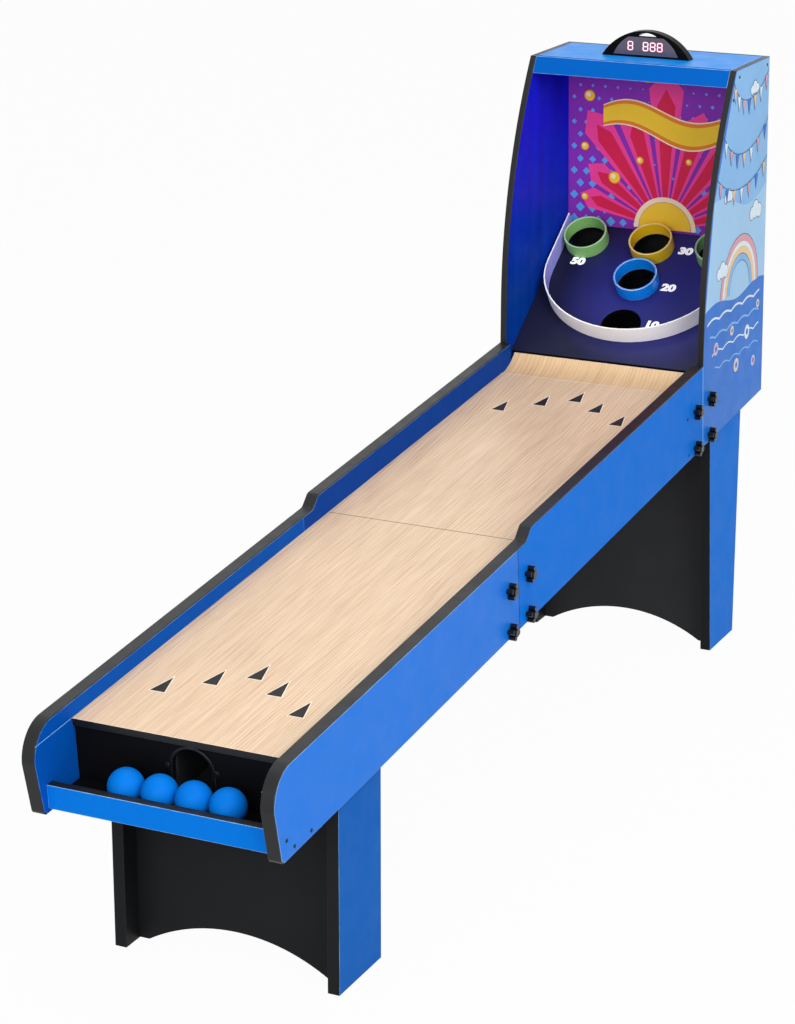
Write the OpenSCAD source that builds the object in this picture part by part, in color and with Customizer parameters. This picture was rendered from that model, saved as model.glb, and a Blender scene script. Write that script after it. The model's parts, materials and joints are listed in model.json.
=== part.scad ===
// Ball rolling alley game table: a sloping lane in two sections, a target cabinet
// with ringed score holes at the back, and a ball tray at the player's end.
// Millimetres. X runs to the player's right, Y from the player to the cabinet,
// Z up, with the floor at zero and the origin under the middle of the table.

/* [Table] */
// Width over the two side panels
table_w = 428; // [410:1:450]
// Rise of the lane towards the back, in degrees
lane_slope = 5.1; // [4:0.1:6]
// Height of the lane surface at its front edge
lane_front_z = 438.5; // [420:0.5:470]
// Thickness of the side panels and cabinet sides
side_t = 12; // [10:0.5:14]
// Thickness of the guard rails on the inside of the side panels
rail_t = 10; // [8:0.5:12]
// Thickness of the black edge trim
trim_t = 2.5; // [2:0.1:4]

/* [Lane] */
// Thickness of the lane boards and of the curved ramp
lane_t = 12; // [10:0.5:15]
// Length of the front side panels behind the lane's front edge
front_len = 772; // [740:1:800]
// Length of the rear side panels
rear_len = 900; // [860:1:940]
// How far the front lane board runs past the joint of the side panels
lane_lap = 94; // [60:1:120]
// Depth of the side panels below the lane surface
panel_drop = 120.4; // [116:0.2:130]
// Height of the front rails over the lane
front_rail_h = 29; // [25:0.5:35]
// Height of the rear rails over the lane
rear_rail_h = 47.5; // [42:0.5:55]
// Distance from the joint to the foot of the step in the rear rails
step_in = 36; // [30:1:50]
// Length of the sloping step in the rear rails
step_len = 23; // [15:1:35]
// Radius of the rounded corners of that step
step_r = 12; // [8:0.5:16]

/* [Ramp] */
// Distance from the end of the lane board to the cabinet joint
ramp_in = 42; // [36:1:48]
// Length of the ramp along the lane
ramp_len = 61; // [55:1:66]
// Radius of the ramp's hollow curve
ramp_r = 94; // [85:1:110]

/* [Ball tray] */
// How far the nose reaches in front of the lane
nose_reach = 112.6; // [108:0.2:125]
// Radius of the nose's upper corner
nose_r = 58; // [45:1:65]
// How far the nose leans back at its foot
nose_lean = 13; // [5:0.5:18]
// Radius of the nose's lower corner
nose_foot_r = 10; // [6:0.5:14]
// Depth of the ball tray from apron to lane edge
tray_depth = 70; // [66:0.5:74]
// Depth of the tray floor below the lane surface
tray_floor_drop = 104.4; // [100:0.2:106]
// Thickness of the tray floor
tray_floor_t = 9; // [6:0.5:12]
// Height of the apron board
apron_h = 41; // [35:0.5:50]
// Thickness of the apron board
apron_t = 15; // [12:0.5:18]
// Thickness of the panel behind the tray
tray_back_t = 10; // [8:0.5:12]
// How far the lane overhangs the panel behind the tray
lane_overhang = 6; // [4:0.5:8]

/* [Balls and return] */
// Diameter of a ball
ball_d = 58; // [54:0.5:60]
// Gap between neighbouring balls and between a ball and its seat
ball_gap = 0.5; // [0.3:0.1:1]
// Place of the middle of the row of balls across the tray
ball_row_x = 8.8; // [-10:0.1:12]
// How far the return opening sits off the middle
return_x = 12; // [-20:1:20]
// Width of the arched return opening
return_w = 71; // [68:0.5:76]
// Height of the arched return opening
return_h = 87; // [80:0.5:88]
// Width of the bezel's rim
bezel_w = 4; // [3:0.5:6]
// Depth of the bezel in front of its panel
bezel_t = 3; // [2:0.5:4]
// Radius of the bezel's screw ears
bezel_ear_r = 5; // [4:0.5:6]
// Height of the bezel's ears above the tray floor
bezel_ear_h = 53; // [45:1:58]
// Clear width of the return chute
chute_w = 64; // [62:0.5:66]
// Wall of the return chute
chute_t = 3; // [2:0.5:3]
// Height of the chute's side walls
chute_h = 84; // [60:1:88]
// Width along the lane of each bar under the chute
bar_w = 60; // [40:1:80]
// Distance of the bars under the chute from posts and joints
bar_in = 72; // [60:1:90]
// Width and height of the cleats under the lane boards
cleat = 20; // [15:1:24]

/* [Cabinet] */
// Height of the cabinet's top
cabinet_h = 1187; // [1150:1:1220]
// Depth of the cabinet's foot behind its joint
cabinet_foot = 346; // [336:1:360]
// How far the cabinet's back leans forward at the top
cabinet_lean = 29; // [20:1:40]
// Height at which the cabinet's front edge starts to curve back
curve_z = 715; // [690:1:740]
// Radius of the curve of the cabinet's front edge
curve_r = 900; // [860:5:1000]
// Thickness of the cabinet's top
top_t = 12; // [10:0.5:15]
// Height of the header board
header_h = 31; // [26:1:40]
// Thickness of the header board
header_t = 12; // [9:0.5:14]
// Thickness of the backboard behind the targets
backboard_t = 9; // [6:0.5:10]
// Thickness of the rear cover
cover_t = 8; // [6:0.5:10]

/* [Targets] */
// Slope of the target board in degrees
board_slope = 35; // [33:0.5:36]
// Length of the target board up its slope
board_len = 352; // [348:1:356]
// Thickness of the target board
board_t = 9; // [8:0.5:12]
// Gap between the ramp's lip and the target board
board_gap = 6; // [4:0.5:10]
// Rise of the target board's front edge over the ramp's lip
board_rise = 2.5; // [1:0.5:4]
// Diameter of the score holes
hole_d = 82; // [76:0.5:84]
// Wall of the score rings
ring_wall = 3.5; // [2.5:0.5:4]
// Height of the score rings
ring_h = 30; // [26:1:36]
// Place up the board of the upper row of rings
upper_row = 305; // [299:1:306]
// Place up the board of the middle ring
middle_row = 207; // [200:1:212]
// Place up the board of the lowest hole
lower_row = 97; // [97:1:103]
// Distance of the outer rings from the middle
outer_x = 142; // [130:0.5:142.5]
// Height of the white fence
fence_h = 38; // [32:1:42]
// Thickness of the white fence
fence_t = 3; // [2:0.5:4]
// Place up the board of the front of the fence
fence_front = 52; // [48:0.5:52.5]
// Place up the board where the fence meets the cabinet's sides
fence_side = 214; // [190:1:240]
// Gap between the fence's arms and the cabinet's sides
fence_gap = 11; // [6:0.5:11.5]
// Distance of the ends of the fence's arms from the backboard
fence_end = 6; // [2:0.5:10]

/* [Legs] */
// Thickness of the leg posts
post_t = 21; // [18:0.5:23]
// Distance of the front posts behind the lane's front edge
front_post_in = 119; // [100:1:130]
// Depth of the front posts
front_post_d = 147; // [130:1:150]
// Distance of the rear posts' feet from the cabinet's back
rear_post_in = 226; // [215:1:240]
// Depth of the rear posts at the floor
rear_post_d = 135.5; // [125:0.5:145]
// How far the rear posts widen forward for each millimetre of height
rear_post_flare = 0.094; // [0.05:0.002:0.1]
// Height of the rear posts
rear_post_h = 560; // [540:1:580]
// Setback of the leg panels behind the posts' front edges
leg_panel_in = 40; // [30:1:50]
// Thickness of the leg panels
leg_panel_t = 12; // [9:0.5:15]
// Clearance of the leg panels over the floor
leg_panel_lift = 2; // [1:0.5:5]
// Half the span of the arch in the leg panels
arch_half = 162; // [140:1:170]
// Height of the arch in the leg panels
arch_h = 46; // [35:1:60]

/* [Hand knobs] */
// Spacing of the knobs along the lane at each joint
knob_du = 78; // [70:1:84]
// Spacing of the knobs up the panel at each joint
knob_dv = 75; // [70:1:78]
// Depth of the knobs' middle below the lane surface
knob_drop = 70; // [68:1:72]
// Diameter of the circle of the knob's lobes
lobe_circle = 20; // [18:0.5:21]
// Diameter of one lobe
lobe_d = 9; // [8:0.5:10]
// Diameter of the knob's middle
knob_core_d = 14; // [13:0.5:16]
// Angle in degrees at which the knobs' lobes lean back
knob_turn = 20; // [0:1:45]
// Height of the knob
knob_h = 14; // [10:0.5:18]
// Diameter of the knob's stud
stud_d = 8; // [6:0.5:10]
// How far the stud reaches past the plate
stud_past = 6; // [3:0.5:10]
// Radial clearance of the stud in the panel
stud_clear = 0.3; // [0.2:0.05:0.6]
// Radial clearance of the stud in the plate's thread
thread_clear = 0.05; // [0.02:0.01:0.08]
// Gap between the knob and the panel
knob_gap = 0.3; // [0.2:0.05:0.5]
// Thickness of the joint plates
plate_t = 3; // [2:0.5:4]
// Edge of the joint plate beyond the knobs
plate_edge = 9.5; // [8:0.5:10]

/* [Scorer] */
// Width of the scorer's housing at its foot
scorer_w = 184; // [176:1:190]
// Height of the scorer's housing
scorer_h = 52; // [51.5:0.5:54]
// Depth of the scorer's housing
scorer_d = 22; // [20:0.5:30]
// Distance of the scorer's face behind the cabinet's top edge
scorer_in = 72; // [66:1:80]
// Width of the finger gap in the housing
grip_w = 45; // [40:0.5:46]
// Height of the finger gap
grip_h = 6.4; // [6:0.1:6.8]
// Height of the finger gap's floor over the housing's foot
grip_z = 41.8; // [41.6:0.1:42]
// Slope in degrees at which the finger gap falls to the back
grip_fall = 8; // [6:0.5:9]
// Radius of the lens's rounded shoulders
lens_r = 73; // [70:0.5:76]
// Depth of the middle of that radius below the housing's foot
lens_sink = 24; // [22:0.5:28]
// Width of the lens
lens_w = 134; // [120:1:136]
// Height of the lens
lens_h = 35.5; // [30:0.5:36]
// Height of the lens over the housing's foot
lens_z = 4; // [3:0.5:4]
// Thickness of the lens
lens_t = 3; // [2:0.5:4]
// Depth of the pocket behind the lens
pocket_d = 12; // [10:0.5:14]
// Height of the pocket behind the lens
pocket_h = 28; // [24:0.5:30]
// Thickness of the scorer's circuit board
circuit_t = 2; // [1.5:0.1:3]
// Size of the hole sensors
sensor = 14; // [10:0.5:16]

/* [Hidden] */
$fn = 64;

// Widths across the table
half_w = table_w / 2;
inner_x = half_w - side_t;
rail_x = inner_x - rail_t;
post_x = inner_x - post_t;

// Places along the lane, measured from the lane's front edge
nose_u = -nose_reach;
cabinet_u = front_len + rear_len;
lane_joint_u = front_len + lane_lap;
ramp_u = cabinet_u - ramp_in;
foot_u = cabinet_u + cabinet_foot;
cos_lane = cos(lane_slope);
sin_lane = sin(lane_slope);

// The lane's frame is set so that the whole table is centred on the origin
nose_mid = [nose_u + nose_r, front_rail_h - nose_r];
table_front = nose_mid.x * cos_lane - nose_mid.y * sin_lane - nose_r;
table_back = foot_u * cos_lane + panel_drop * sin_lane;
lane_y = -(table_front + table_back) / 2;
function lane_pt(u, v) = [lane_y + u * cos_lane - v * sin_lane, lane_front_z + u * sin_lane + v * cos_lane];
function lane_z(y, v) = lane_front_z + (y - lane_y) * tan(lane_slope) + v / cos_lane;

// The ramp's lip and the target board's front edge
ramp_rise = ramp_r - sqrt(ramp_r * ramp_r - ramp_len * ramp_len);
ramp_angle = asin(ramp_len / ramp_r);
ramp_lip = lane_pt(ramp_u + ramp_len, ramp_rise);
board_foot = ramp_lip + [board_gap, board_rise];
board_head = board_foot + board_len * [cos(board_slope), sin(board_slope)];

// The cabinet's side outline
cabinet_kink = lane_pt(cabinet_u, rear_rail_h);
cabinet_toe = lane_pt(cabinet_u, -panel_drop);
cabinet_heel = lane_pt(foot_u, -panel_drop);
cabinet_back_y = cabinet_heel.x - cabinet_lean;
curve_end = asin((cabinet_h - curve_z) / curve_r);
top_front_y = cabinet_kink.x + curve_r * (1 - cos(curve_end));
curve_steps = 24;
back_rate = cabinet_lean / (cabinet_h - cabinet_heel.y);

// Posts and leg panels
front_post_y = lane_y + front_post_in;
rear_post_y = cabinet_heel.x - rear_post_in;
arch_r = (arch_half * arch_half + arch_h * arch_h) / (2 * arch_h);

// Return path
chute_start = lane_overhang + tray_back_t;
catch_start = cabinet_u + plate_edge + knob_du / 2 + 2;
catch_end = foot_u - cover_t - 36;
chute_floor = -tray_floor_drop + chute_t;
chute_out = chute_w + 2 * chute_t;
front_bars = [front_post_in + front_post_d + bar_in, front_len - bar_in - bar_w];
rear_ends = [front_len + bar_in, cabinet_u - bar_in - bar_w];
rear_bars = [rear_ends[0], (rear_ends[0] + rear_ends[1]) / 2, rear_ends[1]];
cleat_gap = 8;
catch_floor_t = 5;
catch_wall = 3;
catch_wall_h = 42;
guide_len = 90;

// Where the scorer stands
scorer_y = top_front_y + scorer_in;
scorer_r = (scorer_w * scorer_w / 4 + scorer_h * scorer_h) / (2 * scorer_h);
grip_r = (grip_w * grip_w / 4 + grip_h * grip_h) / (2 * grip_h);
grip_arc = asin(grip_w / 2 / grip_r);
circuit_in = 6;
sensor_in = 6;

// Colours
blue = "#2f7fe0";
black = "#1b1c1f";
maple = "#dcc0a0";
steel = "#9a9da2";

// Points along an arc, ends included
function arc(mid, r, from, to, steps) =
    [for (i = [0:steps]) let (a = from + (to - from) * i / steps) mid + r * [cos(a), sin(a)]];

// Outline of a front side panel in the lane's frame, with its trimmed edges drawn in
function front_outline(inset) = concat(
    [[front_len, -panel_drop], [front_len, front_rail_h - inset]],
    arc(nose_mid, nose_r - inset, 90, 180, 20),
    arc([nose_u + nose_lean + nose_foot_r, nose_foot_r - panel_drop], nose_foot_r - inset, 180, 270, 6),
    [[nose_u + nose_lean + nose_foot_r, -panel_drop]]);

// Outline of a rear side panel in the lane's frame, with its top edge drawn in and its step rounded
function rear_outline(inset) = let (
    a = atan2(rear_rail_h - front_rail_h, step_len),
    back = step_r * tan(a / 2),
    low = front_len + step_in) concat(
    [[front_len, -panel_drop], [cabinet_u, -panel_drop], [cabinet_u, rear_rail_h - inset]],
    arc([low + step_len + back, rear_rail_h - inset - step_r], step_r, 90, 90 + a, 6),
    arc([low - back, front_rail_h - inset + step_r], step_r, 270 + a, 270, 6),
    [[front_len, front_rail_h - inset]]);

// Outline of a cabinet side in the table's frame, with its front edge drawn in
function cabinet_outline(inset) = concat(
    [cabinet_heel, cabinet_toe, cabinet_kink, cabinet_kink + [inset, 0]],
    [for (i = [0:curve_steps]) let (a = curve_end * i / curve_steps)
        [cabinet_kink.x + inset + curve_r * (1 - cos(a)), curve_z + curve_r * sin(a)]],
    [[cabinet_back_y, cabinet_h]]);

module on_lane() {
    translate([0, lane_y, lane_front_z]) rotate([lane_slope, 0, 0]) children();
}

// A plate drawn in the YZ plane that starts at x and is t thick
module side_plate(x, t) {
    translate([x, 0, 0]) rotate([90, 0, 90]) linear_extrude(t) children();
}

// A plate drawn in the XZ plane that starts at y and is t thick
module cross_plate(y, t) {
    translate([0, y + t, 0]) rotate([90, 0, 0]) linear_extrude(t) children();
}

// The same plate on the left (-1) or the right (1), from x outwards
module side_plate_on(side, x, t) {
    side_plate(side > 0 ? x : -x - t, t) children();
}

module lane_box(u0, u1, v0, v1, x) {
    on_lane() translate([-x, u0, v0]) cube([2 * x, u1 - u0, v1 - v0]);
}

// Places of the four knobs of a joint, from front to back and then upwards
function knob_places(joint_u) = [for (b = [-1, 1]) for (a = [-1, 1])
    [joint_u + a * knob_du / 2, b * knob_dv / 2 - knob_drop]];

module knob_bores(joint_u, side, x, t, d) {
    for (p = knob_places(joint_u))
        translate([side > 0 ? x - 1 : -x - t - 1, p.x, p.y]) rotate([0, 90, 0]) cylinder(d = d, h = t + 2);
}

module front_side_panel(side) {
    color(blue) on_lane() difference() {
        side_plate_on(side, inner_x, side_t) polygon(front_outline(trim_t));
        knob_bores(front_len, side, inner_x, side_t, stud_d + 2 * stud_clear);
    }
}

module rear_side_panel(side) {
    color(blue) on_lane() difference() {
        side_plate_on(side, inner_x, side_t) polygon(rear_outline(trim_t));
        knob_bores(front_len, side, inner_x, side_t, stud_d + 2 * stud_clear);
        knob_bores(cabinet_u, side, inner_x, side_t, stud_d + 2 * stud_clear);
    }
}

// Boards inside the front panels: a rail over the lane that turns down as the tray's cheek
module front_guard_rails() {
    color(blue) on_lane() for (side = [-1, 1]) side_plate_on(side, rail_x, rail_t) intersection() {
        polygon(front_outline(trim_t));
        union() {
            translate([nose_u, 0]) square([front_len - nose_u, front_rail_h]);
            translate([nose_u, -panel_drop]) square([-nose_u, panel_drop]);
            translate([nose_u, -panel_drop]) square([lane_overhang - nose_u, panel_drop - lane_t]);
        }
    }
}

module rear_guard_rails() {
    color(blue) on_lane() for (side = [-1, 1]) side_plate_on(side, rail_x, rail_t) intersection() {
        polygon(rear_outline(trim_t));
        translate([front_len, 0]) square([rear_len, rear_rail_h]);
    }
}

// Black strips over the top edges and round the nose, one for each side panel
module rail_edge_trims() {
    color(black) on_lane() for (side = [-1, 1]) side_plate_on(side, rail_x, side_t + rail_t) {
        difference() {
            polygon(front_outline(0));
            polygon(front_outline(trim_t));
        }
        difference() {
            polygon(rear_outline(0));
            polygon(rear_outline(trim_t));
        }
    }
}

module front_lane_board() {
    color(maple) lane_box(0, lane_joint_u, -lane_t, 0, inner_x);
}

module rear_lane_board() {
    color(maple) lane_box(lane_joint_u, ramp_u, -lane_t, 0, inner_x);
}

// Curved board that carries on from the lane and lifts the ball to the targets
module jump_ramp() {
    color(maple) on_lane() side_plate(-rail_x, 2 * rail_x) translate([ramp_u, ramp_r]) intersection() {
        difference() {
            circle(ramp_r + lane_t, $fn = 180);
            circle(ramp_r, $fn = 180);
        }
        polygon([[0, 0], [0, -2 * ramp_r], [2 * ramp_r * sin(ramp_angle), -2 * ramp_r * cos(ramp_angle)]]);
    }
}

module ball_tray_floor() {
    color(black)
        lane_box(-tray_depth, lane_overhang, -tray_floor_drop - tray_floor_t, -tray_floor_drop, rail_x);
}

module tray_apron() {
    foot = -tray_floor_drop - tray_floor_t;
    color(blue) lane_box(-tray_depth - apron_t, -tray_depth, foot, foot + apron_h, rail_x);
}

// Outline of the return opening, grown by the given amount
module return_arch(grow) {
    r = return_w / 2 + grow;
    top = return_h - return_w / 2 - tray_floor_drop;
    translate([return_x, top]) circle(r);
    translate([return_x - r, -tray_floor_drop]) square([2 * r, top + tray_floor_drop]);
}

module tray_back_panel() {
    color(black) on_lane() cross_plate(lane_overhang, tray_back_t) difference() {
        translate([-inner_x, -panel_drop]) square([2 * inner_x, panel_drop - lane_t]);
        return_arch(0);
    }
}

// Moulded rim round the return opening, with an ear for a screw on each side
module return_mouth_bezel() {
    ear_x = return_w / 2 + bezel_w + bezel_ear_r / 2;
    color(black) on_lane() cross_plate(lane_overhang - bezel_t, bezel_t) difference() {
        union() {
            return_arch(bezel_w);
            for (side = [-1, 1]) translate([return_x + side * ear_x, bezel_ear_h - tray_floor_drop])
                circle(bezel_ear_r);
        }
        return_arch(0);
    }
}

// Open channel under the lane, in two lengths, that brings the balls back
module return_chute() {
    color(steel) on_lane() for (run = [[chute_start, front_len], [front_len, catch_start]])
        translate([return_x - chute_out / 2, run[0], -tray_floor_drop]) difference() {
            cube([chute_out, run[1] - run[0], chute_h]);
            translate([chute_t, -1, chute_t]) cube([chute_w, run[1] - run[0] + 2, chute_h]);
        }
}

module chute_bars() {
    color(maple) for (u = concat(front_bars, rear_bars))
        lane_box(u, u + bar_w, -panel_drop, -tray_floor_drop, inner_x);
}

// Battens along the side panels that the lane boards are screwed to
module lane_cleats() {
    plate_reach = knob_du / 2 + plate_edge + cleat_gap;
    runs = [[front_post_in + front_post_d + cleat_gap, front_len - plate_reach],
        [front_len + plate_reach, cabinet_u - plate_reach]];
    color(maple) on_lane() for (side = [-1, 1]) for (run = runs)
        translate([side > 0 ? inner_x - cleat : -inner_x, run[0], -lane_t - cleat])
            cube([cleat, run[1] - run[0], cleat]);
}

// Steel plates inside the joints that the knobs screw into
module joint_plates() {
    size = [knob_du + 2 * plate_edge, knob_dv + 2 * plate_edge];
    color(steel) on_lane() for (side = [-1, 1]) for (joint_u = [front_len, cabinet_u]) difference() {
        side_plate_on(side, inner_x - plate_t, plate_t)
            translate([joint_u, -knob_drop]) square(size, center = true);
        knob_bores(joint_u, side, inner_x - plate_t, plate_t, stud_d + 2 * thread_clear);
    }
}

module cabinet_side(side) {
    color(blue) difference() {
        side_plate_on(side, inner_x, side_t) polygon(cabinet_outline(trim_t));
        on_lane() knob_bores(cabinet_u, side, inner_x, side_t, stud_d + 2 * stud_clear);
    }
}

module cabinet_edge_trims() {
    color(black) for (side = [-1, 1]) side_plate_on(side, inner_x, side_t) difference() {
        polygon(cabinet_outline(0));
        polygon(cabinet_outline(trim_t));
    }
}

module cabinet_top() {
    color(blue) translate([-inner_x, top_front_y + header_t, cabinet_h - top_t])
        cube([2 * inner_x, cabinet_back_y - cover_t - top_front_y - header_t, top_t]);
}

// Sloping board at the top of the opening, in line with the cabinet's curved edge
module header_board() {
    low = cabinet_h - header_h;
    low_y = cabinet_kink.x + curve_r * (1 - cos(asin((low - curve_z) / curve_r)));
    color(blue) side_plate(-inner_x, 2 * inner_x) polygon([[low_y, low], [top_front_y, cabinet_h],
        [top_front_y + header_t, cabinet_h], [low_y + header_t, low]]);
}

module backboard() {
    top = cabinet_h - top_t;
    top_y = board_head.x - back_rate * (top - board_head.y);
    color("#4a2a86") side_plate(-inner_x, 2 * inner_x) polygon([board_head, [top_y, top],
        [top_y + backboard_t, top], board_head + [backboard_t, 0]]);
}

module rear_cover() {
    color(black) side_plate(-inner_x, 2 * inner_x) polygon([cabinet_heel, [cabinet_back_y, cabinet_h],
        [cabinet_back_y - cover_t, cabinet_h], cabinet_heel - [cover_t, 0]]);
}

module on_board() {
    translate([0, board_foot.x, board_foot.y]) rotate([board_slope, 0, 0]) children();
}

// Places of the five score holes across and up the target board
hole_places = [[-outer_x, upper_row], [outer_x, upper_row], [0, upper_row], [0, middle_row],
    [0, lower_row]];

module target_board() {
    color("#23204f") on_board() translate([0, 0, -board_t]) difference() {
        translate([-inner_x, 0, 0]) cube([2 * inner_x, board_len, board_t]);
        for (p = hole_places) translate([p.x, p.y, -1]) cylinder(d = hole_d, h = board_t + 2);
    }
}

module score_ring(place, tint) {
    color(tint) on_board() translate([place.x, place.y, 0]) difference() {
        cylinder(d = hole_d + 2 * ring_wall, h = ring_h);
        translate([0, 0, -1]) cylinder(d = hole_d, h = ring_h + 2);
    }
}

// Half of an ellipse round the lower holes, seen square to the board
function fence_arc(grow) = [for (i = [0:32]) let (a = 180 + 180 * i / 32)
    [(inner_x - fence_gap - fence_t + grow) * cos(a),
        fence_side + (fence_side - fence_front - fence_t + grow) * sin(a)]];

// White band that stands on the board and leads missed balls to the lowest hole
module fence_band() {
    outer = inner_x - fence_gap;
    color("white") on_board() linear_extrude(fence_h) difference() {
        polygon(concat([[-outer, board_len - fence_end]], fence_arc(fence_t),
            [[outer, board_len - fence_end]]));
        polygon(concat([[fence_t - outer, board_len + 1]], fence_arc(0),
            [[outer - fence_t, board_len + 1]]));
    }
}

// Tray under the targets, with guides that lead every ball to the chute
module ball_catch_tray() {
    gate = chute_w / 2;
    floor_v = chute_floor;
    color(black) on_lane() translate([0, 0, floor_v - catch_floor_t]) {
        difference() {
            translate([-post_x, catch_start, 0]) cube([2 * post_x, catch_end - catch_start, catch_wall_h]);
            translate([catch_wall - post_x, catch_start + catch_wall, catch_floor_t])
                cube([2 * (post_x - catch_wall), catch_end - catch_start - 2 * catch_wall, catch_wall_h]);
            translate([return_x - gate, catch_start - 1, catch_floor_t])
                cube([chute_w, catch_wall + 2, catch_wall_h]);
        }
        for (side = [-1, 1]) linear_extrude(catch_wall_h) polygon([
            [return_x + side * gate, catch_start], [return_x + side * (gate + catch_wall), catch_start],
            [side * (post_x - catch_wall / 2), catch_start + guide_len],
            [side * (post_x - catch_wall / 2), catch_start + guide_len + catch_wall]]);
    }
}

module hole_sensors() {
    color("darkgreen") on_board() for (p = hole_places)
        translate([p.x - sensor / 2, p.y - hole_d / 2 - sensor_in - sensor, -board_t - sensor])
            cube([sensor, sensor, sensor]);
}

// Outline of the lens up to the given height: flat foot and top, with rounded shoulders
module lens_outline(h) {
    intersection() {
        translate([0, -lens_sink]) circle(lens_r, $fn = 180);
        translate([-lens_w / 2, lens_z]) square([lens_w, h]);
    }
}

// Arched housing with a finger gap under its rim that falls to the back
module scorer_housing() {
    color(black) translate([0, 0, cabinet_h]) difference() {
        cross_plate(scorer_y, scorer_d) intersection() {
            translate([0, scorer_h - scorer_r]) circle(scorer_r, $fn = 180);
            translate([-scorer_w / 2, 0]) square([scorer_w, scorer_h]);
        }
        translate([0, scorer_y, grip_z]) rotate([-grip_fall, 0, 0]) cross_plate(-10, scorer_d + 20)
            polygon(arc([0, grip_h - grip_r], grip_r, 90 - grip_arc, 90 + grip_arc, 12));
        cross_plate(scorer_y - 1, lens_t + 1) lens_outline(lens_h);
        cross_plate(scorer_y, pocket_d) lens_outline(pocket_h);
    }
}

module scorer_lens() {
    color("#3a2f38") translate([0, 0, cabinet_h]) cross_plate(scorer_y, lens_t) lens_outline(lens_h);
}

module scorer_circuit_board() {
    color("darkgreen") translate([0, 0, cabinet_h]) cross_plate(scorer_y + circuit_in, circuit_t)
        lens_outline(pocket_h);
}

module front_leg_posts() {
    back = front_post_y + front_post_d;
    color(blue) for (side = [-1, 1]) side_plate_on(side, post_x, post_t)
        polygon([[front_post_y, 0], [back, 0], [back, lane_z(back, -lane_t)],
            [front_post_y, lane_z(front_post_y, -lane_t)]]);
}

// The rear posts widen towards the top and stand inside the cabinet's sides
module rear_leg_posts() {
    back = rear_post_y + rear_post_d;
    color(blue) for (side = [-1, 1]) side_plate_on(side, post_x, post_t)
        polygon([[rear_post_y, 0], [back, 0], [back, rear_post_h],
            [rear_post_y - rear_post_flare * rear_post_h, rear_post_h]]);
}

module leg_panel(y) {
    top = lane_z(y, -panel_drop);
    color(black) cross_plate(y, leg_panel_t) difference() {
        translate([-post_x, leg_panel_lift]) square([2 * post_x, top - leg_panel_lift]);
        translate([0, leg_panel_lift + arch_h - arch_r]) circle(arch_r, $fn = 180);
    }
}

// Hand knob with four lobes on a threaded stud; place counts front to back, then upwards
module hand_knob(side, joint_u, place) {
    p = knob_places(joint_u)[place];
    color(black) on_lane() translate([side * (half_w + knob_gap), p.x, p.y]) rotate([0, side * 90, 0]) {
        cylinder(d = knob_core_d, h = knob_h);
        for (a = [0:90:270]) rotate(a - side * knob_turn) translate([lobe_circle / 2, 0, 0])
            cylinder(d = lobe_d, h = knob_h - 2);
        translate([0, 0, -side_t - knob_gap - plate_t - stud_past])
            cylinder(d = stud_d, h = side_t + knob_gap + plate_t + stud_past + 1);
    }
}

// Ball number i of four, at rest against the apron
module ball(i) {
    pitch = ball_d + ball_gap;
    color("#1667d8") on_lane() translate([ball_row_x + (i - 2.5) * pitch,
        ball_d / 2 + ball_gap - tray_depth, ball_d / 2 + ball_gap - tray_floor_drop]) sphere(d = ball_d);
}

front_side_panel(-1);  // front_side_panel_left
front_side_panel(1);  // front_side_panel_right
front_guard_rails();
rail_edge_trims();
front_lane_board();
ball_tray_floor();
tray_apron();
tray_back_panel();
return_mouth_bezel();
rear_side_panel(-1);  // rear_side_panel_left
rear_side_panel(1);  // rear_side_panel_right
rear_guard_rails();
rear_lane_board();
jump_ramp();
return_chute();
chute_bars();
lane_cleats();
joint_plates();
cabinet_side(-1);  // cabinet_side_left
cabinet_side(1);  // cabinet_side_right
cabinet_edge_trims();
cabinet_top();
header_board();
backboard();
rear_cover();
target_board();
fence_band();
ball_catch_tray();
score_ring(hole_places[0], "#1f9d4a");  // ring_50_left
score_ring(hole_places[1], "#1f9d4a");  // ring_50_right
score_ring(hole_places[2], "#e8c81e");  // ring_30
score_ring(hole_places[3], "#1f6fd0");  // ring_20
hole_sensors();
scorer_housing();
scorer_lens();
scorer_circuit_board();
front_leg_posts();
rear_leg_posts();
leg_panel(front_post_y + leg_panel_in);  // front_leg_panel
leg_panel(rear_post_y + leg_panel_in);  // rear_leg_panel
for (i = [0:3]) {
    hand_knob(-1, front_len, i);
    hand_knob(1, front_len, i);
    hand_knob(-1, cabinet_u, i);
    hand_knob(1, cabinet_u, i);
    ball(i + 1);
}
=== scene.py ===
"""Looks of a ball rolling alley game table, laid over its packed construction."""

import json
import math

import bmesh
import bpy
from bpy.props import FloatProperty, FloatVectorProperty, IntProperty, PointerProperty
from bpy.types import Operator, Panel, PropertyGroup
from mathutils import Matrix, Vector


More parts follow.
